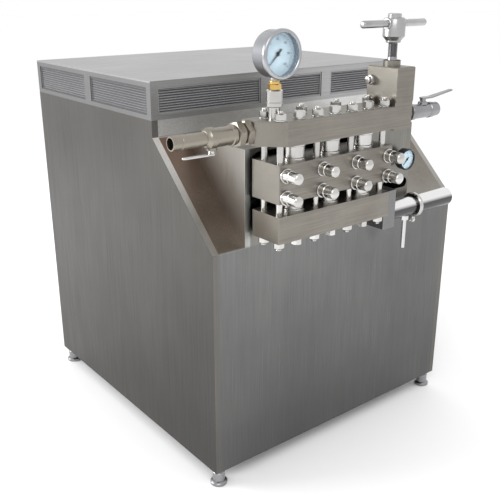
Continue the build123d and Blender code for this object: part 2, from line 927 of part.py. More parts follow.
# Studs of the front covers with their long cap nuts
with BuildPart() as cap_nuts:
    for x in column_x:
        for z in cap_nut_z:
            rod(facing_front(head_front + stud_depth), x, z, stud_diameter, stud_depth)
            rod(facing_front(head_front), x, z, cap_washer_diameter, cap_washer_thickness)
            rod(facing_front(head_front - cap_washer_thickness), x, z, cap_nut_diameter, cap_nut_length)
    chamfer(cap_nuts.faces().sort_by(Axis.Y)[0:len(column_x) * 2].edges(), length=cap_nut_chamfer)
save(cap_nuts.part, "cap_nuts")

# Packing boxes on the back of the pump block, each with its packing and gland
with BuildPart() as packing_boxes:
    for x in station_x:
        ring(facing_front(head_back), x, plunger_z, stuffing_diameter, plunger_bore, -packing_start)
        ring(
            facing_front(head_back + packing_start),
            x,
            plunger_z,
            stuffing_diameter,
            packing_outer,
            -(stuffing_length - packing_start),
        )
        ring(
            facing_front(head_back + stuffing_length),
            x,
            plunger_z,
            gland_diameter,
            plunger_bore,
            -gland_length,
        )
        ring(
            facing_front(head_back + packing_start),
            x,
            plunger_z,
            packing_outer,
            plunger_bore,
            -packing_length,
        )
        ring(
            facing_front(head_back + packing_start + packing_length),
            x,
            plunger_z,
            packing_outer,
            plunger_bore,
            -(stuffing_length - packing_start - packing_length),
        )
save(packing_boxes.part, "packing_boxes")

# Plungers with their couplings, extension rods and crossheads, each at its own crank angle
for number, (x, offset_y) in enumerate(zip(station_x, crank_offset), start=1):
    tip_y = plunger_tip_middle + offset_y
    coupling_y = tip_y + plunger_length
    crosshead_y = crosshead_middle - crosshead_length / 2 + offset_y
    with BuildPart() as plunger:
        rod(facing_front(tip_y), x, plunger_z, plunger_diameter, -plunger_length)
        chamfer(plunger.edges().sort_by(Axis.Y)[0], length=edge_chamfer)
        rod(facing_front(coupling_y), x, plunger_z, coupling_diameter, -coupling_length)
        rod(
            facing_front(coupling_y + coupling_length),
            x,
            plunger_z,
            crosshead_rod_diameter,
            -(crosshead_y - coupling_y - coupling_length),
        )
        rod(facing_front(crosshead_y), x, plunger_z, crosshead_diameter, -crosshead_length)
        hole(
            facing_front(crosshead_y + crosshead_crown),
            x,
            plunger_z,
            crosshead_bore,
            -(crosshead_length - crosshead_crown),
        )
        rod(
            facing_right(x - crosshead_diameter / 2 + wrist_pin_inset),
            crosshead_y + crosshead_length / 2,
            plunger_z,
            wrist_pin_diameter,
            crosshead_diameter - 2 * wrist_pin_inset,
        )
    save(plunger.part, f"plunger_{number}")

# Crankcase: guides for the crossheads in front, and the crank chamber behind them
with BuildPart() as crankcase:
    with BuildSketch(facing_right(case_left)):
        with Locations(((case_front + crank_y) / 2, plunger_z)):
            Rectangle(crank_y - case_front, 2 * guide_housing_half_height)
        with Locations((crank_y, plunger_z)):
            Circle(crank_chamber_radius + crankcase_wall)
        with Locations(((case_front + case_back) / 2, (case_bottom + plunger_z) / 2)):
            Rectangle(case_back - case_front, plunger_z - case_bottom)
    extrude(amount=crankcase_width)
    with BuildSketch(facing_right(case_left + crankcase_wall)):
        with Locations((crank_y, plunger_z)):
            Circle(crank_chamber_radius)
    extrude(amount=crankcase_width - 2 * crankcase_wall, mode=Mode.SUBTRACT)
    with BuildSketch(facing_right(case_left)):
        with Locations((crank_y, plunger_z)):
            Circle(crank_journal_diameter / 2 + running_clearance)
    extrude(amount=crankcase_width, mode=Mode.SUBTRACT)
    for x in station_x:
        hole(
            facing_front(case_front + crankcase_wall),
            x,
            plunger_z,
            crosshead_diameter + 2 * crosshead_clearance,
            -(crank_y - case_front - crankcase_wall),
        )
        hole(
            facing_front(case_front),
            x,
            plunger_z,
            crosshead_rod_diameter + 2 * crosshead_clearance,
            -crankcase_wall,
        )
        ring(
            facing_front(case_front),
            x,
            plunger_z,
            seal_plate_diameter,
            crosshead_rod_diameter + 2 * crosshead_clearance,
            seal_plate_thickness,
        )
    with BuildSketch(facing_right(case_left)):
        with Locations((crank_y, plunger_z)):
            Circle(bearing_cap_diameter / 2)
            Circle(crank_journal_diameter / 2 + running_clearance, mode=Mode.SUBTRACT)
    extrude(amount=-bearing_cap_thickness)
    with BuildSketch(facing_right(case_right)):
        with Locations((crank_y, plunger_z)):
            Circle(bearing_cap_diameter / 2)
            Circle(crank_journal_diameter / 2 + running_clearance, mode=Mode.SUBTRACT)
    extrude(amount=bearing_cap_thickness)
save(crankcase.part, "crankcase")

# Crankshaft with three eccentrics, one third of a turn apart
with BuildPart() as crankshaft:
    rod(facing_right(case_left), crank_y, plunger_z, crank_journal_diameter, pulley_right - case_left)
    for x, phase in zip(station_x, crank_phase):
        rod(
            facing_right(x - crank_eccentric_width / 2),
            crank_y + throw * cos(radians(phase)),
            plunger_z + throw * sin(radians(phase)),
            crank_eccentric_diameter,
            crank_eccentric_width,
        )
save(crankshaft.part, "crankshaft")


def grooved_pulley(y, z, diameter, bore, web):
    """A V-belt pulley on an axle along X: a turned rim with one groove for each belt."""
    radius = diameter / 2
    with BuildPart() as pulley:
        rod(facing_right(pulley_left), y, z, diameter, pulley_width)
        for x in belt_x:
            with BuildSketch(Plane(origin=(x, y, z), x_dir=(1, 0, 0), z_dir=(0, -1, 0))):
                with BuildLine():
                    Polyline(
                        (-groove_width / 2, radius),
                        (groove_width / 2, radius),
                        (groove_width / 2 - groove_taper, radius - groove_depth),
                        (groove_taper - groove_width / 2, radius - groove_depth),
                        close=True,
                    )
                make_face()
            revolve(axis=Axis((x, y, z), (1, 0, 0)), mode=Mode.SUBTRACT)
        if web:
            for side in (facing_right(pulley_left), facing_right(pulley_right)):
                depth = web if side.origin.X < pulley_middle else -web
                ring_cut(side, y, z, diameter - 4 * groove_depth, bore + 2 * pulley_hub_wall, depth)
        hole(facing_right(pulley_left), y, z, bore, pulley_width)
    return pulley.part


driven_pulley = grooved_pulley(
    crank_y, plunger_z, driven_pulley_diameter, crank_journal_diameter, pulley_recess
)
save(driven_pulley, "driven_pulley")
motor_pulley = grooved_pulley(motor_y, motor_z, motor_pulley_diameter, motor_shaft_diameter, 0)
save(motor_pulley, "motor_pulley")

# Belts: four closed loops lying in the grooves
driven_belt_radius = driven_pulley_diameter / 2 - belt_sink
motor_belt_radius = motor_pulley_diameter / 2 - belt_sink

with BuildPart() as v_belts:
    for x in belt_x:
        with BuildSketch(facing_right(x - belt_width / 2)):
            with Locations((crank_y, plunger_z)):
                Circle(driven_belt_radius)
            with Locations((motor_y, motor_z)):
                Circle(motor_belt_radius)
            make_hull()
            offset(amount=-belt_thickness, mode=Mode.SUBTRACT)
        extrude(amount=belt_width)
save(v_belts.part, "v_belts")

# Motor: finned body on its feet, terminal box and fan cover
with BuildPart() as motor_body:
    with BuildSketch(facing_right(motor_left)):
        with Locations((motor_y, motor_z)):
            Circle(motor_diameter / 2 - motor_fin_height)
            with PolarLocations(motor_diameter / 2 - motor_fin_height / 2, motor_fin_count):
                Rectangle(motor_fin_height + motor_fin_root, motor_fin_width)
    extrude(amount=motor_length)
    for x in (motor_left, motor_left + motor_length - motor_end_shield):
        rod(facing_right(x), motor_y, motor_z, motor_diameter, motor_end_shield)
    rod(facing_right(motor_left), motor_y, motor_z, motor_diameter, -fan_cover_length)
    hole(facing_right(motor_left), motor_y, motor_z, motor_diameter - 2 * sheet, -(fan_cover_length - sheet))
    with BuildSketch(level(bar_top)):
        with Locations((motor_left + motor_length / 2, motor_y)):
            with GridLocations(motor_foot_span, motor_foot_gap, 2, 2):
                Rectangle(motor_foot_length, motor_foot_width)
    extrude(amount=motor_foot_thickness)
    with BuildSketch(level(bar_top + motor_foot_thickness)):
        with Locations((motor_left + motor_length / 2, motor_y)):
            with GridLocations(motor_foot_span, motor_foot_gap - motor_foot_width + motor_leg_width, 2, 2):
                Rectangle(motor_foot_length, motor_leg_width)
    extrude(amount=motor_z - motor_diameter / 4 - bar_top - motor_foot_thickness)
    with BuildSketch(level(motor_z + motor_diameter / 2 - motor_fin_height - motor_fin_root)):
        with Locations((motor_left + motor_length / 2, motor_y)):
            Rectangle(terminal_box_size, terminal_box_size)
    extrude(amount=terminal_box_height)
    hole(
        facing_right(motor_left),
        motor_y,
        motor_z,
        motor_shaft_diameter + 2 * running_clearance,
        motor_length,
    )
save(motor_body.part, "motor_body")

# Rotor: shaft through the motor, with its fan under the fan cover
with BuildPart() as motor_rotor:
    rod(
        facing_right(motor_left - fan_cover_length / 2),
        motor_y,
        motor_z,
        motor_shaft_diameter,
        fan_cover_length / 2 + motor_length + motor_shaft_length,
    )
    with BuildSketch(facing_right(motor_left - fan_width - fan_gap)):
        with Locations((motor_y, motor_z)):
            Circle(fan_hub_diameter / 2)
            with PolarLocations(fan_diameter / 4, fan_blade_count):
                Rectangle(fan_diameter / 2, fan_blade_thickness)
    extrude(amount=fan_width)
save(motor_rotor.part, "motor_rotor")

# Stand that carries the crankcase on the frame's cross bars
with BuildPart() as crankcase_stand:
    for x in (case_left, case_right - stand_plate):
        with BuildSketch(facing_right(x)):
            with Locations(((case_front + case_back) / 2, (bar_top + case_bottom) / 2)):
                Rectangle(case_back - case_front, case_bottom - bar_top)
                RectangleRounded(
                    stand_window_width, stand_window_height, stand_window_corner, mode=Mode.SUBTRACT
                )
        extrude(amount=stand_plate)
    with BuildSketch(level(case_bottom)):
        with Locations((head_x, (case_front + case_back) / 2)):
            Rectangle(crankcase_width, case_back - case_front)
            RectangleRounded(stand_top_window, stand_window_width, stand_window_corner, mode=Mode.SUBTRACT)
    extrude(amount=-stand_plate)
    with BuildSketch(level(bar_top)):
        with Locations((head_x, cross_bar_y[0]), (head_x, cross_bar_y[1])):
            Rectangle(crankcase_width + 2 * stand_foot_reach, stand_foot_width)
    extrude(amount=stand_plate)
save(crankcase_stand.part, "crankcase_stand")

# Valve block: the lower half, bolted to the end of the upper plate
valve_left = block_right
valve_right = valve_left + valve_block_width
valve_x = (valve_left + valve_right) / 2
valve_bottom = upper_plate_bottom - valve_block_overhang
valve_split = valve_bottom + valve_block_height
valve_top = valve_split + valve_body_height
chamber_floor = valve_split - valve_chamber_depth
insert_diameter = valve_chamber_diameter - 2 * insert_clearance
spindle_bore = spindle_diameter + 2 * spindle_clearance
outlet_z = valve_bottom + outlet_over_valve_low

with BuildPart() as valve_block:
    with BuildSketch(level(valve_bottom)):
        with Locations((valve_x, valve_y)):
            Rectangle(valve_block_width, head_depth)
    extrude(amount=valve_split - valve_bottom)
    chamfer(valve_block.edges().filter_by(Axis.Z), length=edge_chamfer)
    hole(facing_right(valve_left), valve_y, gallery_z, discharge_diameter, valve_x - valve_left)
    hole(level(gallery_z), valve_x, valve_y, valve_port_diameter, valve_split - gallery_z)
    hole(level(chamber_floor), valve_x, valve_y, valve_chamber_diameter, valve_chamber_depth)
    hole(facing_right(valve_right), valve_y, outlet_z, discharge_diameter, -outlet_port_depth)
save(valve_block.part, "valve_block")

# Valve body: the upper half, with the spring chamber and the screwed bonnet on top
with BuildPart() as valve_body:
    with BuildSketch(level(valve_split)):
        with Locations((valve_x, valve_y)):
            Rectangle(valve_block_width, head_depth)
    extrude(amount=valve_top - valve_split)
    chamfer(valve_body.faces().sort_by(Axis.Z)[-1].edges(), length=edge_chamfer)
    hole(level(valve_split), valve_x, valve_y, valve_chamber_diameter, valve_top - valve_split)
    ring(level(valve_top), valve_x, valve_y, bonnet_diameter, spindle_bore, bonnet_height)
    ring(level(valve_top), valve_x, valve_y, valve_chamber_diameter, spindle_bore, -bonnet_height)
save(valve_body.part, "valve_body")

# Working parts of the homogenizing valve: seat, impact ring, and the plug with its follower
with BuildPart() as valve_seat:
    ring(level(chamber_floor), valve_x, valve_y, insert_diameter, valve_port_diameter, valve_seat_height)

plug_floor = chamber_floor + valve_seat_height
follower_floor = plug_floor + valve_plug_height + valve_stem_height
follower_top = follower_floor + follower_height

with BuildPart() as impact_ring:
    ring(level(plug_floor), valve_x, valve_y, insert_diameter, impact_ring_bore, valve_plug_height)

with BuildPart() as valve_plug:
    rod(level(plug_floor), valve_x, valve_y, valve_plug_diameter, valve_plug_height)
    rod(level(plug_floor + valve_plug_height), valve_x, valve_y, valve_stem_diameter, valve_stem_height)
    rod(level(follower_floor), valve_x, valve_y, follower_diameter, follower_height)
save(Compound([valve_seat.part, impact_ring.part, valve_plug.part]), "homogenizing_valve")

# Stack of coned disc springs between the follower and the moving spring seat
disc_pitch = spring_disc_thickness + spring_disc_rise
spring_seat_bottom = follower_top + spring_disc_count * disc_pitch

with BuildPart() as disc_springs:
    for i in range(spring_disc_count):
        disc_z = follower_top + i * disc_pitch
        inner_rise = spring_disc_rise if i % 2 == 0 else 0
        outer_rise = spring_disc_rise - inner_rise
        with BuildSketch(Plane(origin=(valve_x, valve_y, disc_z), x_dir=(1, 0, 0), z_dir=(0, -1, 0))):
            with BuildLine():
                Polyline(
                    (spring_disc_bore / 2, inner_rise),
                    (spring_disc_diameter / 2, outer_rise),
                    (spring_disc_diameter / 2, outer_rise + spring_disc_thickness),
                    (spring_disc_bore / 2, inner_rise + spring_disc_thickness),
                    close=True,
                )
            make_face()
        revolve(axis=Axis((valve_x, valve_y, disc_z), (0, 0, 1)))
save(disc_springs.part, "disc_springs")

with BuildPart() as spring_seat:
    rod(level(spring_seat_bottom), valve_x, valve_y, spring_seat_diameter, spring_seat_height)
save(spring_seat.part, "spring_seat")

# Spindle and T-handle
spindle_bottom = spring_seat_bottom + spring_seat_height + seat_gap
hub_bottom = valve_top + hub_over_valve
handle_z = hub_bottom + handle_bar_over_hub

with BuildPart() as spindle:
    rod(level(spindle_bottom), valve_x, valve_y, spindle_diameter, hub_bottom - spindle_bottom)
save(spindle.part, "spindle")

with BuildPart() as handle_hub:
    with BuildSketch(Plane(origin=(valve_x, valve_y, hub_bottom), x_dir=(1, 0, 0), z_dir=(0, -1, 0))):
        with BuildLine():
            Polyline(
                (0, 0),
                (hub_neck_diameter / 2, 0),
                (hub_diameter / 2, hub_neck_height),
                (hub_diameter / 2, hub_height - hub_neck_height / 2),
                (hub_diameter / 2 - hub_neck_height / 2, hub_height),
                (hub_cap_diameter / 2, hub_height),
                (hub_cap_diameter / 2, hub_height + hub_cap_height),
                (0, hub_height + hub_cap_height),
                close=True,
            )
        make_face()
    revolve(axis=Axis((valve_x, valve_y, hub_bottom), (0, 0, 1)))
    hole(facing_right(valve_x - hub_diameter / 2), valve_y, handle_z, handle_bar_diameter, hub_diameter)
save(handle_hub.part, "handle_hub")

with BuildPart() as handle_bar:
    rod(
        facing_right(valve_x - handle_bar_length / 2),
        valve_y,
        handle_z,
        handle_bar_diameter,
        handle_bar_length,
    )
    chamfer(handle_bar.edges().filter_by(GeomType.CIRCLE), length=edge_chamfer)
save(handle_bar.part, "handle_bar")

# Plug in the left side of the valve body
plug_y = head_back - side_plug_inset
plug_z = valve_top - side_plug_drop
plug_step = side_plug_length / 2

with BuildPart() as side_plug:
    hex_nut(facing_right(valve_left), plug_y, plug_z, side_plug_size, 0, -plug_step)
    rod(facing_right(valve_left - plug_step), plug_y, plug_z, side_plug_diameter, -plug_step)
save(side_plug.part, "side_plug")

# Main gauge: stem, nut, case with its bezel, dial, lens and needle
stem_top = upper_plate_top + gauge_stem_height
case_back_y = valve_y + gauge_case_depth / 2
case_front_y = valve_y - gauge_case_depth / 2
nut_top = stem_top + gauge_nut_height
gauge_z = nut_top + gauge_centre_over_nut
recess_y = case_front_y + gauge_recess_depth
dial_y = recess_y - gauge_dial_thickness
bezel_front_y = case_front_y - gauge_bezel_depth
lens_y = bezel_front_y + gauge_bezel_lip + gauge_lens_thickness

with BuildPart() as gauge_stem:
    rod(level(upper_plate_top), gauge_x, valve_y, gauge_stem_waist, gauge_stem_foot)
    rod(
        level(stem_top),
        gauge_x,
        valve_y,
        gauge_stem_diameter,
        gauge_stem_foot - gauge_stem_height,
    )
    chamfer(gauge_stem.faces().sort_by(Axis.Z)[-1].edges(), length=edge_chamfer)
    hole(level(upper_plate_top), gauge_x, valve_y, gauge_bore, gauge_stem_height)
save(gauge_stem.part, "gauge_stem")

with BuildPart() as gauge_nut:
    hex_nut(level(stem_top), gauge_x, valve_y, gauge_nut_size, gauge_bore, gauge_nut_height)
save(gauge_nut.part, "gauge_nut")

with BuildPart() as gauge_case:
    rod(facing_front(case_back_y), gauge_x, gauge_z, gauge_case_diameter, gauge_case_depth)
    fillet(gauge_case.edges().sort_by(Axis.Y)[-1], radius=gauge_case_edge)
    rod(level(nut_top), gauge_x, valve_y, gauge_socket_diameter, gauge_z - nut_top)
    hole(facing_front(recess_y), gauge_x, gauge_z, gauge_recess_diameter, gauge_recess_depth)
    ring(
        facing_front(case_front_y),
        gauge_x,
        gauge_z,
        gauge_diameter,
        gauge_recess_diameter,
        gauge_bezel_depth,
    )
    ring(
        facing_front(bezel_front_y),
        gauge_x,
        gauge_z,
        gauge_diameter,
        gauge_window,
        -gauge_bezel_lip,
    )
    chamfer(gauge_case.faces().sort_by(Axis.Y)[0].edges(), length=edge_chamfer)
save(gauge_case.part, "gauge_case")

with BuildPart() as gauge_dial:
    rod(facing_front(recess_y), gauge_x, gauge_z, gauge_recess_diameter, gauge_dial_thickness)
save(gauge_dial.part, "gauge_dial")

with BuildPart() as gauge_lens:
    rod(facing_front(lens_y), gauge_x, gauge_z, gauge_recess_diameter, gauge_lens_thickness)
save(gauge_lens.part, "gauge_lens")


needle_zero = (cos(radians(needle_zero_angle)), 0, sin(radians(needle_zero_angle)))


def needle(x, z, dial_face_y, length, tail, width, hub, gap):
    """A tapered pointer on its hub and pin, in front of a dial, pointing to the scale's zero."""
    with BuildPart() as pointer:
        with BuildSketch(Plane(origin=(x, dial_face_y - gap, z), x_dir=needle_zero, z_dir=(0, -1, 0))):
            with BuildLine():
                Polyline(
                    (length, 0),
                    (0, width / 2),
                    (-tail, width / 2),
                    (-tail, -width / 2),
                    (0, -width / 2),
                    close=True,
                )
            make_face()
            Circle(hub / 2)
        extrude(amount=needle_thickness)
        rod(facing_front(dial_face_y - gap), x, z, hub / 2, needle_pin_gap - gap)
    return pointer.part


gauge_needle = needle(
    gauge_x,
    gauge_z,
    dial_y,
    gauge_needle_length,
    gauge_needle_tail,
    gauge_needle_width,
    gauge_needle_hub,
    gauge_needle_gap,
)
save(gauge_needle, "gauge_needle")

# Small gauge: case on a neck screwed into the box's front, its dial and needle
small_x = box_right - small_gauge_from_box_right
small_z = slot_z + small_gauge_over_slot
small_back_y = front - small_gauge_neck_length
small_front_y = small_back_y - small_gauge_depth
small_recess_y = small_front_y + small_gauge_recess_depth
small_dial_y = small_recess_y - gauge_dial_thickness

with BuildPart() as small_gauge_case:
    rod(facing_front(small_back_y), small_x, small_z, small_gauge_diameter, small_gauge_depth)
    chamfer(small_gauge_case.edges().filter_by(GeomType.CIRCLE), length=edge_chamfer)
    hole(
        facing_front(small_recess_y),
        small_x,
        small_z,
        small_gauge_recess_diameter,
        small_gauge_recess_depth,
    )
    rod(facing_front(front), small_x, small_z, small_gauge_neck_diameter, small_gauge_neck_length)
save(small_gauge_case.part, "small_gauge_case")

with BuildPart() as small_gauge_dial:
    rod(
        facing_front(small_recess_y),
        small_x,
        small_z,
        small_gauge_recess_diameter,
        gauge_dial_thickness,
    )
save(small_gauge_dial.part, "small_gauge_dial")

small_gauge_needle = needle(
    small_x,
    small_z,
    small_dial_y,
    small_gauge_needle_length,
    small_gauge_needle_tail,
    small_gauge_needle_width,
    small_gauge_needle_hub,
    small_gauge_needle_gap,
)
save(small_gauge_needle, "small_gauge_needle")

# Left pipe: a union of two nuts on a short pipe
union_end = upper_plate_left - 2 * union_nut_length - union_gap

with BuildPart() as left_pipe:
    rod(
        facing_right(upper_plate_left),
        left_pipe_y,
        gallery_z,
        union_pipe_diameter,
        union_end - upper_plate_left,
    )
    for x in (upper_plate_left, union_end + union_nut_length):
        hex_nut(facing_right(x), left_pipe_y, gallery_z, union_nut_diameter, 0, -union_nut_length)
    hole(
        facing_right(upper_plate_left),
        left_pipe_y,
        gallery_z,
        discharge_diameter,
        union_end - upper_plate_left,
    )
save(left_pipe.part, "left_pipe")

# Left cock: its body, the open pipe end to the left, and the hole for the lever's stem
cock_end = union_end - left_cock_length
spigot_end = left - left_pipe_reach
left_stem_x = union_end - left_stem_from_union
left_stem_top = gallery_z - cock_stem_inset
left_lever_z = gallery_z - left_stem_drop
stem_hole = cock_stem_diameter + 2 * running_clearance

with BuildPart() as left_cock:
    rod(facing_right(union_end), left_pipe_y, gallery_z, left_cock_diameter, -left_cock_length)
    chamfer(left_cock.edges().filter_by(GeomType.CIRCLE), length=edge_chamfer)
    rod(facing_right(cock_end), left_pipe_y, gallery_z, left_spigot_diameter, spigot_end - cock_end)
    hole(facing_right(spigot_end), left_pipe_y, gallery_z, left_spigot_bore, left_spigot_bore_depth)
    hole(level(left_stem_top), left_stem_x, left_pipe_y, stem_hole, -left_cock_diameter)
save(left_cock.part, "left_cock")

with BuildPart() as left_lever:
    with BuildSketch(level(left_lever_z)):
        with Locations((left_stem_x, left_pipe_y)):
            Circle(left_lever_width / 2)
            with BuildLine():
                Polyline(
                    (left_stem_x, left_pipe_y + left_lever_width / 2),
                    (left_stem_x - left_lever_length, left_pipe_y + left_lever_tip_width / 2),
                    (left_stem_x - left_lever_length, left_pipe_y - left_lever_tip_width / 2),
                    (left_stem_x, left_pipe_y - left_lever_width / 2),
                    close=True,
                )
            make_face()
    extrude(amount=-lever_thickness)
    rod(
        level(left_lever_z),
        left_stem_x,
        left_pipe_y,
        cock_stem_diameter,
        left_stem_top - left_lever_z - lever_gap,
    )
save(left_lever.part, "left_lever")

# Outlet cock on the valve block, with its lever above it
outlet_body_x = valve_right + outlet_neck_length
outlet_body_end = outlet_body_x + outlet_cock_length
outlet_end_x = outlet_body_end + outlet_end_length
outlet_stem_x = outlet_body_x + outlet_stem_from_neck
outlet_stem_low = outlet_z + cock_stem_inset
outlet_lever_z = outlet_z + outlet_stem_rise
outlet_tip_x = outlet_stem_x + outlet_lever_length

with BuildPart() as outlet_cock:
    rod(facing_right(valve_right), valve_y, outlet_z, outlet_neck_diameter, outlet_neck_length)
    rod(facing_right(outlet_body_x), valve_y, outlet_z, outlet_cock_diameter, outlet_cock_length)
    rod(facing_right(outlet_body_end), valve_y, outlet_z, outlet_end_diameter, outlet_end_length)
    chamfer(outlet_cock.faces().sort_by(Axis.X)[-1].edges(), length=edge_chamfer)
    hole(facing_right(outlet_end_x), valve_y, outlet_z, outlet_end_bore, -outlet_end_length)
    hole(facing_right(valve_right), valve_y, outlet_z, discharge_diameter, outlet_neck_length)
    hole(level(outlet_stem_low), outlet_stem_x, valve_y, stem_hole, outlet_cock_diameter)
save(outlet_cock.part, "outlet_cock")

with BuildPart() as outlet_lever:
    with BuildSketch(facing_front(valve_y + outlet_lever_root_width / 2)):
        with BuildLine():
            Polyline(
                (outlet_stem_x - outlet_lever_root_width / 2, outlet_lever_z),
                (outlet_stem_x + outlet_lever_flat, outlet_lever_z),
                (outlet_tip_x, outlet_lever_z + outlet_lever_rise),
                (outlet_tip_x, outlet_lever_z + outlet_lever_rise + lever_thickness),
                (outlet_stem_x + outlet_lever_flat, outlet_lever_z + lever_thickness),
                (outlet_stem_x - outlet_lever_root_width / 2, outlet_lever_z + lever_thickness),
                close=True,
            )
        make_face()
    extrude(amount=outlet_lever_root_width)
    with BuildSketch(level(outlet_lever_z)):
        with Locations((outlet_stem_x, valve_y)):
            Circle(outlet_lever_root_width / 2)
        with BuildLine():
            Polyline(
                (outlet_stem_x, valve_y + outlet_lever_root_width / 2),
                (outlet_tip_x, valve_y + outlet_lever_tip_width / 2),
                (outlet_tip_x, valve_y - outlet_lever_tip_width / 2),
                (outlet_stem_x, valve_y - outlet_lever_root_width / 2),
                close=True,
            )
        make_face()
    extrude(amount=outlet_lever_rise + lever_thickness, mode=Mode.INTERSECT)
    rod(
        level(outlet_lever_z),
        outlet_stem_x,
        valve_y,
        cock_stem_diameter,
        outlet_stem_low + lever_gap - outlet_lever_z,
    )
save(outlet_lever.part, "outlet_lever")

# Inlet: a block on the lower plate's right end, the pipe out of it, and the thin drain tube
inlet_block_right = block_right + inlet_block_width
inlet_block_middle_x = block_right + inlet_block_width / 2
inlet_block_low = inlet_z - inlet_block_below
inlet_block_high = suction_z + inlet_block_above
inlet_end_x = inlet_block_right + inlet_reach
inlet_bore = inlet_diameter - 2 * inlet_wall
clamp_x = inlet_block_right + inlet_clamp_from_block
drain_x = inlet_block_right + drain_from_block
drain_top = inlet_z - inlet_bore / 2
drain_bottom = inlet_z - drain_reach

with BuildPart() as inlet_pipe:
    with BuildSketch(level(inlet_block_low)):
        with Locations((inlet_block_middle_x, valve_y)):
            Rectangle(inlet_block_width, inlet_block_depth)
    extrude(amount=inlet_block_high - inlet_block_low)
    chamfer(inlet_pipe.edges().filter_by(Axis.Z), length=edge_chamfer)
    rod(facing_right(inlet_block_right), valve_y, inlet_z, inlet_diameter, inlet_reach)
    for x in (clamp_x - inlet_ferrule_length, clamp_x):
        rod(facing_right(x), valve_y, inlet_z, inlet_ferrule_diameter, inlet_ferrule_length)
    rod(level(drain_top), drain_x, valve_y, drain_diameter, drain_bottom - drain_top)
    hex_nut(level(drain_top), drain_x, valve_y, drain_nut_size, 0, -drain_nut_height)
    hole(facing_right(inlet_end_x), valve_y, inlet_z, inlet_bore, -inlet_reach - inlet_block_bore_depth)
    hole(facing_right(block_right), valve_y, suction_z, gallery_diameter, inlet_block_bore_depth)
    hole(level(inlet_z), inlet_block_middle_x, valve_y, gallery_diameter, suction_z - inlet_z)
    hole(level(drain_bottom), drain_x, valve_y, drain_bore, inlet_z - drain_bottom)
save(inlet_pipe.part, "inlet_pipe")

with BuildPart() as inlet_clamp:
    ring(
        facing_right(clamp_x - inlet_clamp_width / 2),
        valve_y,
        inlet_z,
        inlet_clamp_diameter,
        inlet_ferrule_diameter,
        inlet_clamp_width,
    )
    with BuildSketch(facing_right(clamp_x - inlet_clamp_width / 2)):
        with Locations((valve_y, inlet_z - inlet_clamp_diameter / 2 - clamp_wing / 2 + clamp_wing_sink)):
            Rectangle(clamp_wing, clamp_wing)
    extrude(amount=inlet_clamp_width)
save(inlet_clamp.part, "inlet_clamp")
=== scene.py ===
"""Looks of the homogenizer: camera, light, finishes and the pieces with more detail than the solids."""

import json
from math import cos, pi, radians, sin, tan

import bmesh
import bpy
from mathutils import Matrix, Vector


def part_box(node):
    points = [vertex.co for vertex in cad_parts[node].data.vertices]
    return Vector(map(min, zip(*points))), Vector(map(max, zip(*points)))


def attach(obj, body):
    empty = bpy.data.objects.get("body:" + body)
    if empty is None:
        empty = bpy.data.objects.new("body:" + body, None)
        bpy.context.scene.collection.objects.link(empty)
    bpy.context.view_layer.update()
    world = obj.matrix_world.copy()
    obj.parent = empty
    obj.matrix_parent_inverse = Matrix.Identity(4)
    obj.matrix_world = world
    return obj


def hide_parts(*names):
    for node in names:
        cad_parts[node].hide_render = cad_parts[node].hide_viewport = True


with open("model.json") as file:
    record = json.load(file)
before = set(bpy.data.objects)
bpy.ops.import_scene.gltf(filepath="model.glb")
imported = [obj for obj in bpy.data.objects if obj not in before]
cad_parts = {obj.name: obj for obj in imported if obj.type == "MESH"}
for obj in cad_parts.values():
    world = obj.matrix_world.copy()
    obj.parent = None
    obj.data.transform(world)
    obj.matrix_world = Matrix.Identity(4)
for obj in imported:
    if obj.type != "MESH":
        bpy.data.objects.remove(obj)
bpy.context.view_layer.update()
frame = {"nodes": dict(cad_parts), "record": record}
scene = bpy.context.scene

# Everything is in metres. +X is to the right, +Y to the back and +Z up, as in the solids.
MM = 0.001
UP = Vector((0, 0, 1))
DOWN = Vector((0, 0, -1))
RIGHT = Vector((1, 0, 0))
LEFT = Vector((-1, 0, 0))
FRONT = Vector((0, -1, 0))
BACK = Vector((0, 1, 0))
SMOOTH_ANGLE = radians(32)
THREAD_PITCH = 2 * MM

# Camera at the photograph's viewpoint
CAMERA_TARGET = Vector((0.0752, 0.0485, 0.4577))
CAMERA_AZIMUTH = radians(-38.3)
CAMERA_ELEVATION = radians(19.98)
CAMERA_DISTANCE = 2.398
CAMERA_LENS = 52.43
SENSOR = 36.0

# The background's light on matt surfaces, and the lamps: name, place, aim, size, power and whether
# polished surfaces mirror it
WORLD_LIGHT = 1.04
LAMPS = [
    ("key", (-2.2, -2.8, 3.4), (0, 0, 0.6), (2.2, 2.2), 45, True),
    ("side", (-3.4, 2.2, 1.9), (-0.4, 0, 0.9), (2.2, 1.4), 110, True),
    ("fill", (3.2, -2.0, 2.4), (0, 0, 0.6), (2.0, 2.0), 25, False),
]

# Places read from the solids
BLOCK_LOW, BLOCK_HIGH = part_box("pump_block")
UPPER_LOW, UPPER_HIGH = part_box("upper_plate")
LOWER_LOW, LOWER_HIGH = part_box("lower_plate")
VALVE_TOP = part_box("valve_body")[1].z
CABINET_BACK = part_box("vent_frame")[1].y
BOX_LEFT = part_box("head_box")[0].x
INLET_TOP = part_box("inlet_clamp")[1].z

# Columns of rods and cap nuts, and the cylinders between them
HEAD_X = (BLOCK_LOW.x + BLOCK_HIGH.x) / 2
PITCH = 114 * MM
COLUMNS = [HEAD_X + (i - 1.5) * PITCH for i in range(4)]
STATIONS = [HEAD_X + (i - 1) * PITCH for i in range(3)]
ROD_INSET = 22 * MM
ROD_ROWS = [BLOCK_LOW.y + ROD_INSET, BLOCK_HIGH.y - ROD_INSET]

# Heights of the slope's lower edge and bend, the inlet block's end and the drain's top: where painted light
# changes
SILL = 671 * MM
BEND = 915 * MM
INLET_BLOCK_END = BLOCK_HIGH.x + 45 * MM
DRAIN_TOP = INLET_TOP - 61 * MM


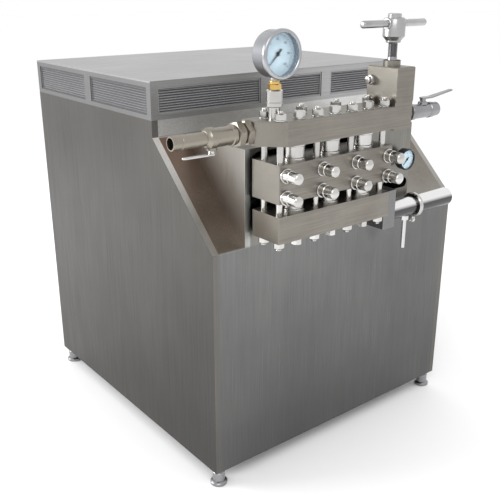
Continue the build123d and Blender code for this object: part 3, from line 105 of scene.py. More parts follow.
def middle(node):
    """The middle of a node's box."""
    low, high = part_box(node)
    return (low + high) / 2


# Materials


def new_material(name):
    """A material with its shader, node tree and object coordinates."""
    material = bpy.data.materials.new(name)
    material.use_nodes = True
    tree = material.node_tree
    shader = tree.nodes["Principled BSDF"]
    coordinates = tree.nodes.new("ShaderNodeTexCoord").outputs["Object"]
    return material, tree, shader, coordinates


def axes(tree, vector):
    """The X, Y and Z of a vector."""
    node = tree.nodes.new("ShaderNodeSeparateXYZ")
    tree.links.new(vector, node.inputs["Vector"])
    return node.outputs


def calculated(tree, operation, *values):
    """The result of a calculation."""
    node = tree.nodes.new("ShaderNodeMath")
    node.operation = operation
    for value, socket in zip(values, node.inputs):
        tree.links.new(value, socket)
    return node.outputs[0]


def noise(tree, coordinates, scale, detail=3.0, stretch=(1, 1, 1)):
    """A noise pattern, drawn out along one axis where stretch is small."""
    mapping = tree.nodes.new("ShaderNodeMapping")
    mapping.inputs["Scale"].default_value = stretch
    tree.links.new(coordinates, mapping.inputs["Vector"])
    texture = tree.nodes.new("ShaderNodeTexNoise")
    texture.inputs["Scale"].default_value = scale
    texture.inputs["Detail"].default_value = detail
    texture.inputs["Roughness"].default_value = 0.55
    tree.links.new(mapping.outputs["Vector"], texture.inputs["Vector"])
    return texture.outputs["Fac"]


def drawn_out(grain, share):
    """The stretch of a pattern that runs along one axis."""
    return [share if axis == grain else 1.0 for axis in "xyz"]


def spread(tree, value, low, high, from_low=0.3, from_high=0.7):
    """A value brought from one range to another."""
    node = tree.nodes.new("ShaderNodeMapRange")
    node.inputs["From Min"].default_value = from_low
    node.inputs["From Max"].default_value = from_high
    node.inputs["To Min"].default_value = low
    node.inputs["To Max"].default_value = high
    tree.links.new(value, node.inputs["Value"])
    return node.outputs["Result"]


def blend_colours(tree, factor, first, second, mode="MIX"):
    """A mix of two colours; the factor and either colour may be a socket."""
    node = tree.nodes.new("ShaderNodeMix")
    node.data_type = "RGBA"
    node.blend_type = mode
    colour_inputs = [s for s in node.inputs if s.type == "RGBA"]
    for socket, value in zip(colour_inputs, (first, second)):
        if isinstance(value, bpy.types.NodeSocket):
            tree.links.new(value, socket)
        else:
            socket.default_value = (*value, 1)
    if isinstance(factor, bpy.types.NodeSocket):
        tree.links.new(factor, node.inputs["Factor"])
    else:
        node.inputs["Factor"].default_value = factor
    return [s for s in node.outputs if s.type == "RGBA"][0]


def multiplied(tree, colour, tones):
    """A colour times one value for each channel."""
    grey = tree.nodes.new("ShaderNodeCombineColor")
    for channel, tone in zip(("Red", "Green", "Blue"), tones):
        tree.links.new(tone, grey.inputs[channel])
    return blend_colours(tree, 1.0, colour, grey.outputs[0], "MULTIPLY")


def toned_along(tree, coordinates, colour, axis, low, high, low_tone, high_tone):
    """Painted light and shade: a colour that changes in tone from one place on an axis to another."""
    place = axes(tree, coordinates)[axis]
    tones = [spread(tree, place, a, b, low, high) for a, b in zip(low_tone, high_tone)]
    return multiplied(tree, colour, tones)


def toned_by_facing(tree, colour, sides, slopes):
    """Painted light by direction: a colour with another tone on what faces left or right, and on what
    slopes up.
    """
    facing_light = axes(tree, tree.nodes.new("ShaderNodeNewGeometry").outputs["True Normal"])
    side_painted_shade = spread(tree, calculated(tree, "ABSOLUTE", facing_light["X"]), 1.0, sides, 0.7, 0.95)
    slope_painted_highlight = spread(tree, facing_light["Z"], 1.0, slopes, 0.2, 0.35)
    return multiplied(tree, multiplied(tree, colour, [side_painted_shade] * 3), [slope_painted_highlight] * 3)


def add_bump(tree, shader, height, distance, strength=1.0):
    """Small relief from a pattern."""
    bump = tree.nodes.new("ShaderNodeBump")
    bump.inputs["Strength"].default_value = strength
    bump.inputs["Distance"].default_value = distance
    tree.links.new(height, bump.inputs["Height"])
    tree.links.new(bump.outputs["Normal"], shader.inputs["Normal"])


def brushed(
    name,
    dark,
    light,
    roughness,
    grain,
    grain_scale=420.0,
    cloud=3.0,
    streaks=0.5,
    light_fades=(),
    facing_light=None,
    light_above=None,
):
    """Brushed steel: fine scratches along one axis over slow changes of tone.

    A fade is painted light and shade along an axis: (axis, low place, high place, tone at the low place,
    tone at the high place), with a number for each colour channel in a tone. The facing tones are painted
    light by
    direction: the tone of what faces left or right, and of what slopes up. The last argument is a height
    and the fades that count over it instead."""
    material, tree, shader, coordinates = new_material(name)
    scratches = noise(tree, coordinates, grain_scale, detail=4, stretch=drawn_out(grain, 0.012))
    bands = noise(tree, coordinates, 26.0, detail=3, stretch=drawn_out(grain, 0.06))
    clouds = noise(tree, coordinates, cloud, detail=4)
    scratch_colour = [c * 0.72 for c in dark]
    colour = blend_colours(tree, spread(tree, clouds, 0, 1), dark, light)
    colour = blend_colours(tree, spread(tree, bands, 0, streaks), colour, light)
    colour = blend_colours(tree, spread(tree, scratches, 0, streaks), colour, scratch_colour)
    upper = colour
    # Painted light and shade: the fades along axes, and over a given height the upper fades instead.
    for fade in light_fades:
        colour = toned_along(tree, coordinates, colour, *fade)
    if light_above:
        height, upper_light_fades = light_above
        edge = 3 * MM
        for fade in upper_light_fades:
            upper = toned_along(tree, coordinates, upper, *fade)
        over = spread(tree, axes(tree, coordinates)["Z"], 0, 1, height - edge, height + edge)
        colour = blend_colours(tree, over, colour, upper)
    # Painted light by the direction each face looks.
    if facing_light:
        colour = toned_by_facing(tree, colour, *facing_light)
    tree.links.new(colour, shader.inputs["Base Color"])
    tree.links.new(spread(tree, scratches, roughness - 0.07, roughness + 0.1), shader.inputs["Roughness"])
    shader.inputs["Metallic"].default_value = 1.0
    add_bump(tree, shader, scratches, 0.02 * MM)
    return material


def tube_steel(name, colour, end, drain_top):
    """Polished tube with painted light: bright on top, painted shade below, darker on its block up to end
    and lighter on its drain.
    """
    material, tree, shader, coordinates = new_material(name)
    place = axes(tree, coordinates)
    facing_light = axes(tree, tree.nodes.new("ShaderNodeNewGeometry").outputs["Normal"])
    edge = 1 * MM
    # Painted highlight on top and painted shade below, by the way each face looks; the drain keeps at least
    # 0.7 and the block end a flat painted shade of 0.24.
    tube_painted_light = spread(tree, facing_light["Z"], 0.1, 1.0, 0.15, 0.5)
    drain_painted_light = spread(tree, place["Z"], 0.7, 0.0, drain_top - edge, drain_top + edge)
    painted_light_mix = tree.nodes.new("ShaderNodeMix")
    painted_light_mix.inputs["A"].default_value = 0.24
    tree.links.new(calculated(tree, "MAXIMUM", tube_painted_light, drain_painted_light), painted_light_mix.inputs["B"])
    tree.links.new(spread(tree, place["X"], 0.0, 1.0, end - edge, end + edge), painted_light_mix.inputs["Factor"])
    marks = noise(tree, coordinates, 14.0)
    plain = blend_colours(tree, spread(tree, marks, 0, 1), [c * 0.95 for c in colour], colour)
    tree.links.new(multiplied(tree, plain, [painted_light_mix.outputs["Result"]] * 3), shader.inputs["Base Color"])
    tree.links.new(spread(tree, marks, 0.24, 0.18), shader.inputs["Roughness"])
    shader.inputs["Metallic"].default_value = 1.0
    add_bump(tree, shader, noise(tree, coordinates, 900.0, detail=2), 0.006 * MM)
    return material


def turned(name, dark, light, roughness):
    """Turned or ground steel with a fine even grain and faint handling marks."""
    material, tree, shader, coordinates = new_material(name)
    grain = noise(tree, coordinates, 900.0, detail=2)
    marks = noise(tree, coordinates, 14.0)
    tone = blend_colours(tree, spread(tree, marks, 0, 1), dark, light)
    tree.links.new(tone, shader.inputs["Base Color"])
    tree.links.new(spread(tree, marks, roughness + 0.03, roughness - 0.03), shader.inputs["Roughness"])
    shader.inputs["Metallic"].default_value = 1.0
    add_bump(tree, shader, grain, 0.006 * MM)
    return material


def painted(name, colour, roughness, relief=0.15 * MM, fleck=0.12):
    """Satin machine paint with a slight orange-peel surface."""
    material, tree, shader, coordinates = new_material(name)
    peel = noise(tree, coordinates, 260.0, detail=2)
    marks = noise(tree, coordinates, 9.0, detail=5)
    darker = [c * (1 - 2 * fleck) for c in colour]
    tone = blend_colours(tree, spread(tree, marks, 0, 1), darker, colour)
    tree.links.new(tone, shader.inputs["Base Color"])
    tree.links.new(spread(tree, peel, roughness - 0.05, roughness + 0.08), shader.inputs["Roughness"])
    add_bump(tree, shader, peel, relief, 0.4)
    return material


def cast(name, colour):
    """Turned cast iron: dark, grainy and a little rough."""
    material, tree, shader, coordinates = new_material(name)
    pores = noise(tree, coordinates, 700.0)
    marks = noise(tree, coordinates, 20.0, detail=4)
    tone = blend_colours(tree, spread(tree, marks, 0, 1), [c * 0.7 for c in colour], colour)
    tree.links.new(tone, shader.inputs["Base Color"])
    tree.links.new(spread(tree, pores, 0.42, 0.62), shader.inputs["Roughness"])
    shader.inputs["Metallic"].default_value = 0.85
    add_bump(tree, shader, pores, 0.1 * MM, 0.5)
    return material


def rubber(name, colour):
    """Matt rubber with a fabric face."""
    material, tree, shader, coordinates = new_material(name)
    texture = tree.nodes.new("ShaderNodeTexVoronoi")
    texture.inputs["Scale"].default_value = 900.0
    tree.links.new(coordinates, texture.inputs["Vector"])
    weave = texture.outputs["Distance"]
    tone = blend_colours(tree, weave, [c * 0.6 for c in colour], [c * 1.5 for c in colour])
    tree.links.new(tone, shader.inputs["Base Color"])
    shader.inputs["Roughness"].default_value = 0.8
    add_bump(tree, shader, weave, 0.1 * MM, 0.5)
    return material


def enamel(name, dark, light):
    """Pale dial enamel with faint clouds."""
    material, tree, shader, coordinates = new_material(name)
    clouds = noise(tree, coordinates, 60.0)
    tree.links.new(
        blend_colours(tree, spread(tree, clouds, 0, 1), dark, light), shader.inputs["Base Color"]
    )
    shader.inputs["Roughness"].default_value = 0.5
    return material


def glass(name):
    """Thin clear glass, a little see-through to the dial behind it."""
    material, tree, shader, coordinates = new_material(name)
    smears = noise(tree, coordinates, 30.0, detail=4)
    tree.links.new(spread(tree, smears, 0.02, 0.07), shader.inputs["Roughness"])
    shader.inputs["Base Color"].default_value = (0.95, 0.98, 1.0, 1)
    shader.inputs["Transmission Weight"].default_value = 1.0
    shader.inputs["IOR"].default_value = 1.1
    shader.inputs["Alpha"].default_value = 0.35
    return material


def side_steel(name, slopes):
    """A side panel's steel: painted shade low down and on what faces sideways, and a painted highlight of
    its own on the sloping edge.
    """
    return brushed(
        name,
        (0.175, 0.168, 0.158),
        (0.235, 0.227, 0.214),
        0.36,
        "z",
        streaks=0.28,
        light_fades=[("Z", 0.2, 0.95, [0.69] * 3, [1.03] * 3)],
        facing_light=(0.5, slopes),
    )


# The cabinet's sheets are one steel, given here as lit and shaded copies: painted light makes the top
# cover, head box and vents lighter than the front and sides, and the left side's sloping edge gets a
# stronger painted highlight than the right's.
LEFT_STEEL = side_steel("left_side_steel", 2.6)
RIGHT_STEEL = side_steel("right_side_steel", 2.1)
# Painted light on the front and rear panels: darker towards the bottom and to the right; over the slope's
# lower edge a painted highlight instead, strongest up to 14 mm in from the head box's left side.
FRONT_STEEL = brushed(
    "front_steel",
    (0.15, 0.15, 0.149),
    (0.196, 0.196, 0.194),
    0.33,
    "z",
    streaks=0.38,
    light_fades=[
        ("Z", 0.15, 0.65, [0.68] * 3, [1.04] * 3),
        ("X", -0.4, 0.4, [1.09] * 3, [0.94] * 3),
    ],
    light_above=(SILL, [("X", BOX_LEFT + 14 * MM, BOX_LEFT + 18 * MM, [2.4, 2.45, 2.4], [1.35, 1.31, 1.2])]),
)
TOP_STEEL = brushed("top_steel", (0.32, 0.32, 0.325), (0.43, 0.43, 0.435), 0.34, "x", streaks=0.4)
# Painted shade on the head box's faces that look left or right.
BOX_STEEL = brushed(
    "box_steel", (0.33, 0.312, 0.284), (0.42, 0.398, 0.364), 0.36, "z", streaks=0.4, facing_light=(0.8, 1.0)
)
# The slope panels' steel with painted light: darker and browner up towards the bend as painted shade under
# the pump head, brighter and bluer to the right, and a strong bluish painted highlight over the bend.
SLOPE_STEEL = brushed(
    "slope_steel",
    (0.2, 0.165, 0.135),
    (0.3, 0.255, 0.22),
    0.36,
    "y",
    light_fades=[
        ("Z", 0.68, 0.9, [1.1] * 3, [0.62, 0.49, 0.44]),
        ("X", 0.1, 0.2, [1.0] * 3, [1.12, 1.28, 1.35]),
    ],
    light_above=(BEND, [("Z", 0.0, BEND, [1.0] * 3, [2.73, 3.23, 3.78])]),
)
# Painted shade on the vent frame's and grilles' faces that look left or right.
VENT_STEEL = brushed("vent_steel", [0.38] * 3, [0.48] * 3, 0.36, "x", facing_light=(0.48, 1.0))
GRILLE_STEEL = brushed("grille_steel", (0.34, 0.34, 0.35), (0.44, 0.44, 0.45), 0.5, "x", facing_light=(0.28, 1.0))
HEAD_STEEL = brushed(
    "head_steel", (0.22, 0.205, 0.18), (0.3, 0.282, 0.25), 0.38, "x", grain_scale=600.0, cloud=9.0
)
BRIGHT_STEEL = turned("bright_steel", (0.5, 0.49, 0.47), (0.66, 0.65, 0.64), 0.2)
HANDLE_STEEL = turned("handle_steel", [0.38] * 3, [0.47] * 3, 0.24)
PIPE_STEEL = turned("pipe_steel", (0.27, 0.27, 0.28), (0.33, 0.33, 0.34), 0.27)
LEFT_PIPE_STEEL = turned("left_pipe_steel", (0.27, 0.247, 0.208), (0.33, 0.303, 0.258), 0.3)
# The inlet pipe's steel, with painted light and shade.
INLET_STEEL = tube_steel("inlet_steel", [0.86] * 3, INLET_BLOCK_END, DRAIN_TOP)
CASE_STEEL = turned("case_steel", (0.36, 0.37, 0.39), (0.44, 0.45, 0.47), 0.28)
CASE_BLACK = painted("case_black", (0.02, 0.021, 0.03), 0.3)
MACHINED_STEEL = turned("machined_steel", [0.3] * 3, [0.46] * 3, 0.3)
FRAME_PAINT = painted("frame_paint", (0.11, 0.12, 0.125), 0.45)
CASE_PAINT = painted("case_paint", (0.08, 0.11, 0.135), 0.42)
MOTOR_PAINT = painted("motor_paint", (0.035, 0.065, 0.11), 0.4)
PULLEY_IRON = cast("pulley_iron", [0.12] * 3)
BELT_RUBBER = rubber("belt_rubber", [0.02] * 3)
BRASS = turned("brass", (0.55, 0.36, 0.11), (0.78, 0.55, 0.2), 0.28)
DIAL_WHITE = enamel("dial_white", (0.57, 0.72, 0.82), (0.65, 0.8, 0.88))
LENS_GLASS = glass("lens_glass")
INK = painted("ink", (0.015, 0.015, 0.018), 0.5, relief=0.01 * MM, fleck=0.05)

NODE_MATERIALS = {
    "left_side_panel": LEFT_STEEL,
    "right_side_panel": RIGHT_STEEL,
    "front_panel": FRONT_STEEL,
    "rear_panel": FRONT_STEEL,
    "head_box": BOX_STEEL,
    "slope_panels": SLOPE_STEEL,
    "vent_frame": VENT_STEEL,
    "vent_grilles": GRILLE_STEEL,
    "top_cover": TOP_STEEL,
    "gauge_nut": BRASS,
    "gauge_lens": LENS_GLASS,
    "left_pipe": LEFT_PIPE_STEEL,
    "left_cock": LEFT_PIPE_STEEL,
    "outlet_cock": PIPE_STEEL,
    "outlet_lever": PIPE_STEEL,
    "inlet_pipe": INLET_STEEL,
}
SLOT_MATERIALS = {
    "sheet_steel": FRONT_STEEL,
    "head_steel": HEAD_STEEL,
    "polished_steel": BRIGHT_STEEL,
    "machined_steel": MACHINED_STEEL,
    "frame_paint": FRAME_PAINT,
    "case_paint": CASE_PAINT,
    "motor_paint": MOTOR_PAINT,
    "pulley_iron": PULLEY_IRON,
    "belt_rubber": BELT_RUBBER,
    "brass": BRASS,
    "dial_white": DIAL_WHITE,
    "lens_glass": LENS_GLASS,
    "needle_black": INK,
}


def finish_nodes():
    """Gives each CAD node its finish."""
    slots = {s["node"]: s["material_slot"] for s in frame["record"]["subparts"]}
    for name, node in frame["nodes"].items():
        material = NODE_MATERIALS.get(name, SLOT_MATERIALS[slots[name]])
        if not node.material_slots:
            node.data.materials.append(material)
        for material_slot in node.material_slots:
            material_slot.material = material


# Mesh tools


def upright(origin, axis, roll=0.0):
    """The place of a turned piece: its own Z runs along axis from origin."""
    rotation = Vector(axis).to_track_quat("Z", "Y").to_matrix().to_4x4()
    return Matrix.Translation(Vector(origin)) @ rotation @ Matrix.Rotation(roll, 4, "Z")


def circles(profile, segments):
    """A ring of points for each (radius, height) of a profile."""
    return [
        [(r * cos(2 * pi * i / segments), r * sin(2 * pi * i / segments), h) for i in range(segments)]
        for r, h in profile
    ]


class Piece:
    """A mesh gathered from turned, hexagonal, flat and boxed shapes."""

    def __init__(self, name):
        self.name = name
        self.mesh = bmesh.new()

    def skin(self, place, rings, ends=True):
        """Skins a stack of point rings that all have the same count, with or without its two ends."""
        rows = [[self.mesh.verts.new(place @ Vector(p)) for p in ring] for ring in rings]
        count = len(rows[0])
        for low, high in zip(rows, rows[1:]):
            for i in range(count):
                j = (i + 1) % count
                self.mesh.faces.new((low[i], low[j], high[j], high[i]))
        if ends:
            self.mesh.faces.new(list(reversed(rows[0])))
            self.mesh.faces.new(rows[-1])

    def turn(self, origin, axis, profile, segments=40):
        """A solid turned from (radius, height) points along its axis."""
        self.skin(upright(origin, axis), circles(profile, segments))

    def turn_loop(self, origin, axis, loop, segments=40):
        """A solid turned from a closed loop of (radius, height) points."""
        rings = circles(loop, segments)
        self.skin(upright(origin, axis), rings + [rings[0]], ends=False)

    def sleeve(self, origin, axis, outside, inside, segments=40):
        """A turned piece with a bore: outside and inside are (radius, height) points from low to high."""
        self.turn_loop(origin, axis, list(outside) + list(reversed(inside)), segments)

    def rounded(self, origin, axis, radius, length, edge, segments=40):
        """A round bar with rounded ends of its own edge radius."""
        low = [(radius - edge * (1 - sin(a)), edge * (1 - cos(a))) for a in (0, pi / 6, pi / 3, pi / 2)]
        high = [(r, length - h) for r, h in reversed(low)]
        self.turn(origin, axis, low + high, segments)

    def nut(self, origin, axis, flats, height, roll=0.0, both=True):
        """A hexagon nut or head, its corners chamfered at 30 degrees on top or on both faces."""
        sides = 6
        count = sides * 4
        apothem = flats / 2
        face = apothem * 0.95
        angles = [2 * pi * i / count for i in range(count)]
        radii = [apothem / cos((a % (2 * pi / sides)) - pi / sides) for a in angles]
        drops = [(r - face) * tan(radians(30)) for r in radii]

        def ring(heights, widths):
            return [(w * cos(a), w * sin(a), h) for a, w, h in zip(angles, widths, heights)]

        if both:
            rings = [ring([0] * count, [face] * count), ring(drops, radii)]
        else:
            rings = [ring([0] * count, radii)]
        rings.append(ring([height - d for d in drops], radii))
        rings.append(ring([height] * count, [face] * count))
        self.skin(upright(origin, axis, roll), rings)

    def thread(self, origin, axis, radius, length, depth=1 * MM):
        """The end of a screw: a stack of thread ridges with a chamfered tip."""
        profile = [(radius - depth, 0)]
        turns = max(1, int(length / THREAD_PITCH))
        step = length / turns
        for i in range(turns):
            base = i * step
            last = i == turns - 1
            profile.append((radius - (depth * 0.6 if last else 0), base + step * 0.5))
            profile.append((radius - depth, base + step))
        self.turn(origin, axis, profile, segments=28)

    def washer(self, origin, axis, outer, thickness):
        """A flat washer with softened edges."""
        self.rounded(origin, axis, outer, thickness, thickness * 0.25, segments=36)

    def slab(self, low, high, edge):
        """A box between two corners with rounded edges."""
        low, high = Vector(low), Vector(high)
        made = bmesh.ops.create_cube(self.mesh, size=1.0)["verts"]
        for vert in made:
            vert.co = (low + high) / 2 + Vector(a * b for a, b in zip(vert.co, high - low))
        edges = list({e for v in made for e in v.link_edges})
        bmesh.ops.bevel(self.mesh, geom=made + edges, offset=edge, segments=2, profile=0.5, affect="EDGES")

    def plate(self, place, outline, thickness, edge=0.0):
        """A flat outline given thickness, with rounded edges."""
        bottom = [self.mesh.verts.new(place @ Vector((x, y, 0))) for x, y in outline]
        top = [self.mesh.verts.new(place @ Vector((x, y, thickness))) for x, y in outline]
        count = len(outline)
        faces = [self.mesh.faces.new(top), self.mesh.faces.new(list(reversed(bottom)))]
        for i in range(count):
            j = (i + 1) % count
            faces.append(self.mesh.faces.new((bottom[i], bottom[j], top[j], top[i])))
        if edge:
            rim = [e for f in faces[:2] for e in f.edges]
            bmesh.ops.bevel(self.mesh, geom=rim, offset=edge, segments=2, profile=0.5, affect="EDGES")

    def place(self, material, body, slot, replaces=()):
        """Makes the object, with its finish, body and the nodes it stands for; slot is not used."""
        bmesh.ops.recalc_face_normals(self.mesh, faces=self.mesh.faces)
        for face in self.mesh.faces:
            face.smooth = True
        for edge in self.mesh.edges:
            edge.smooth = len(edge.link_faces) == 2 and edge.calc_face_angle(0.0) < SMOOTH_ANGLE
        data = bpy.data.meshes.new(self.name)
        self.mesh.to_mesh(data)
        self.mesh.free()
        piece = bpy.data.objects.new(self.name, data)
        scene.collection.objects.link(piece)
        piece.data.materials.append(material)
        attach(piece, body)
        if replaces:
            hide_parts(*replaces)


# Pump head


def tie_rods():
    """Tie rods with threads, washers and chamfered nuts, and the bolts of both plates."""
    radius, over = 8 * MM, 6 * MM
    flats, nut_height, bolt_height = 24 * MM, 16 * MM, 18 * MM
    washer_radius, washer_thickness = 14.5 * MM, 2 * MM
    ends = ((UPPER_HIGH.z, UP), (LOWER_LOW.z, DOWN))
    rods = Piece("tie_rods_turned")
    low = LOWER_LOW.z - nut_height
    high = UPPER_HIGH.z + nut_height
    for x in COLUMNS:
        for y in ROD_ROWS:
            rods.rounded((x, y, low), UP, radius, high - low, 0.5 * MM, segments=28)
            for z, axis in ends:
                face = Vector((x, y, z))
                rods.washer(face, axis, washer_radius, washer_thickness)
                rods.nut(face + axis * washer_thickness, axis, flats, nut_height - washer_thickness)
                rods.thread(face + axis * nut_height, axis, radius, over)
    for x in STATIONS:
        for z, axis in ends:
            face = Vector((x, ROD_ROWS[0], z))
            rods.washer(face, axis, washer_radius, washer_thickness)
            rods.nut(face + axis * washer_thickness, axis, flats, bolt_height - washer_thickness, roll=0.3)
    rods.place(BRIGHT_STEEL, "machine", "polished_steel", ["tie_rods"])


def cap_nuts():
    """Long cap nuts with a collar and a domed end, with their washers and studs."""
    low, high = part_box("cap_nuts")
    washer_radius, washer_depth = 18 * MM, 5 * MM
    stud_radius, stud_depth, stud_length = 8 * MM, 12 * MM, 14 * MM
    face = BLOCK_LOW.y - washer_depth
    length = (BLOCK_LOW.y - low.y) - washer_depth
    dome = 7 * MM
    collar = 15.5 * MM
    barrel = collar - 1.4 * MM
    profile = [
        (collar - 1.2 * MM, 0),
        (collar, 1.2 * MM),
        (collar, 14 * MM),
        (barrel, 15.4 * MM),
        (barrel, length - dome),
    ]
    steps = [radians(a) for a in (18, 36, 54, 72, 88)]
    profile += [(barrel * cos(a), length - dome + dome * sin(a)) for a in steps]
    caps = Piece("cap_nuts_turned")
    for x in COLUMNS:
        for z in (low.z + washer_radius, high.z - washer_radius):
            caps.rounded((x, BLOCK_LOW.y, z), FRONT, washer_radius, washer_depth, 1 * MM, segments=36)
            caps.turn((x, face, z), FRONT, profile)
            stud = (x, BLOCK_LOW.y + stud_depth, z)
            caps.rounded(stud, FRONT, stud_radius, stud_length, 0.5 * MM, segments=24)
    caps.place(BRIGHT_STEEL, "machine", "polished_steel", ["cap_nuts"])


def valve_sleeves():
    """The sleeves between block and plates, with their flanges and the seats of their balls."""
    radius, flange, lip, neck = 25.5 * MM, 27.5 * MM, 6 * MM, 1.5 * MM
    bore, seat_bore, seat_height = 20 * MM, 11 * MM, 14 * MM
    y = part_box("valve_sleeves")[0].y + flange
    sleeves = Piece("valve_sleeves_turned")
    for x in STATIONS:
        for z_low, z_high in ((LOWER_HIGH.z, BLOCK_LOW.z), (BLOCK_HIGH.z, UPPER_LOW.z)):
            height = z_high - z_low
            outside = [
                (flange, 0),
                (flange, lip),
                (radius, lip + neck),
                (radius, height - lip - neck),
                (flange, height - lip),
                (flange, height),
            ]
            inside = [
                (seat_bore, 0),
                (seat_bore, seat_height - 1 * MM),
                (seat_bore + 1 * MM, seat_height),
                (bore, seat_height),
                (bore, height - 1 * MM),
                (bore, height),
            ]
            sleeves.sleeve((x, y, z_low), UP, outside, inside)
    sleeves.place(BRIGHT_STEEL, "machine", "polished_steel", ["valve_sleeves"])


# Homogenizing valve and T-handle


def handle():
    """The T-handle's turned hub with its two collars, and the bar with rounded ends."""
    hub_low, hub_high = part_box("handle_hub")
    centre = middle("handle_hub")
    bar_low, bar_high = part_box("handle_bar")
    bar_z = (bar_low.z + bar_high.z) / 2
    bar_radius = (bar_high.z - bar_low.z) / 2
    outer = (hub_high.x - hub_low.x) / 2
    height = hub_high.z - hub_low.z
    foot, boss = 19 * MM, 17 * MM
    profile = [
        (foot - 1.5 * MM, 0),
        (foot, 1.5 * MM),
        (foot, 5 * MM),
        (outer - 2 * MM, 13 * MM),
        (outer, 15 * MM),
        (outer, height - 15.5 * MM),
        (outer - 1.2 * MM, height - 13 * MM),
        (outer - 3.6 * MM, height - 11 * MM),
        (boss, height - 10 * MM),
        (boss, height - 2 * MM),
        (boss - 1.5 * MM, height - 0.4 * MM),
        (boss - 4 * MM, height),
    ]
    hub = Piece("handle_hub_turned")
    hub.turn((centre.x, centre.y, hub_low.z), UP, profile, segments=56)
    collar, width = bar_radius + 5 * MM, 5.5 * MM
    for side in (LEFT, RIGHT):
        hub.sleeve(
            Vector((centre.x, centre.y, bar_z)) + side * (outer - 3 * MM),
            side,
            [(collar, 0), (collar, 4.2 * MM), (collar - 1.4 * MM, width)],
            [(bar_radius, 0), (bar_radius, 2 * MM), (bar_radius, width)],
            segments=32,
        )
    hub.place(HANDLE_STEEL, "handle", "polished_steel", ["handle_hub"])

    bar = Piece("handle_bar_turned")
    length = bar_high.x - bar_low.x
    bar.rounded((bar_low.x, centre.y, bar_z), RIGHT, bar_radius, length, 4 * MM, segments=32)
    bar.place(HANDLE_STEEL, "handle", "polished_steel", ["handle_bar"])


def spindle():
    """The spindle with its threaded end, and the flat ring round it in the valve body's top."""
    low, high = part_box("spindle")
    centre = middle("handle_hub")
    radius = (high.x - low.x) / 2
    threaded = 34 * MM
    plain = high.z - low.z - threaded
    screw = Piece("spindle_turned")
    screw.rounded((centre.x, centre.y, low.z), UP, radius, plain, 1 * MM, segments=36)
    screw.thread((centre.x, centre.y, high.z - threaded), UP, radius, threaded, 1.1 * MM)
    screw.place(PIPE_STEEL, "handle", "polished_steel", ["spindle"])

    inner, outer, height = radius + 0.6 * MM, 21.5 * MM, 0.6 * MM
    ring = Piece("bonnet_nut")
    ring.sleeve(
        (centre.x, centre.y, VALVE_TOP), DOWN, [(outer, 0), (outer, height)], [(inner, 0), (inner, height)]
    )
    ring.place(PIPE_STEEL, "machine", "polished_steel")


def side_plug():
    """The hexagon plug on the left of the valve body."""
    low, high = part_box("side_plug")
    centre = middle("side_plug")
    half = (high.x - low.x) / 2
    plug = Piece("side_plug_turned")
    plug.nut((high.x, centre.y, centre.z), LEFT, 22 * MM, half, roll=pi / 6, both=False)
    plug.rounded((high.x - half, centre.y, centre.z), LEFT, 9 * MM, half, 1.5 * MM, segments=30)
    plug.place(BRIGHT_STEEL, "machine", "polished_steel", ["side_plug"])


# Gauges


def gauge_housing():
    """The main gauge's case with its rolled bezel, and the neck that stands on its nut."""
    low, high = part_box("gauge_case")
    dial_low, dial_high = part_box("gauge_dial")
    lens_low, lens_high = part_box("gauge_lens")
    centre = middle("gauge_dial")
    radius = (high.x - low.x) / 2
    case_radius = radius - 3 * MM
    depth = high.y - low.y
    bezel, window, core = 12 * MM, 46 * MM, 0.3 * MM
    recess = (dial_high.x - dial_low.x) / 2
    dial_back = dial_high.y - low.y
    lens_front = lens_low.y - low.y
    lens_back = lens_high.y - low.y
    loop = [
        (window, lens_front),
        (window, 1.6 * MM),
        (window + 1.2 * MM, 0.3 * MM),
        (window + 3 * MM, 0),
        (radius - 2.6 * MM, 0.8 * MM),
        (radius - 0.6 * MM, 2.8 * MM),
        (radius, 5 * MM),
        (radius, bezel - 2 * MM),
        (radius - 0.8 * MM, bezel - 0.4 * MM),
        (case_radius + 0.4 * MM, bezel),
        (case_radius, bezel + 1 * MM),
        (case_radius, depth - 6 * MM),
        (case_radius - 1.5 * MM, depth - 2 * MM),
        (case_radius - 5 * MM, depth),
        (core, depth),
        (core, dial_back),
        (recess, dial_back),
        (recess, lens_back),
        (recess, lens_front),
    ]
    housing = Piece("gauge_case_turned")
    housing.turn_loop((centre.x, low.y, centre.z), BACK, loop, segments=72)
    neck_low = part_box("gauge_nut")[1].z
    neck_length = low.z + 6 * MM - neck_low
    neck = (centre.x, middle("gauge_nut").y, neck_low)
    housing.rounded(neck, UP, 10 * MM, neck_length, 1 * MM, segments=30)
    housing.place(CASE_STEEL, "machine", "polished_steel", ["gauge_case"])


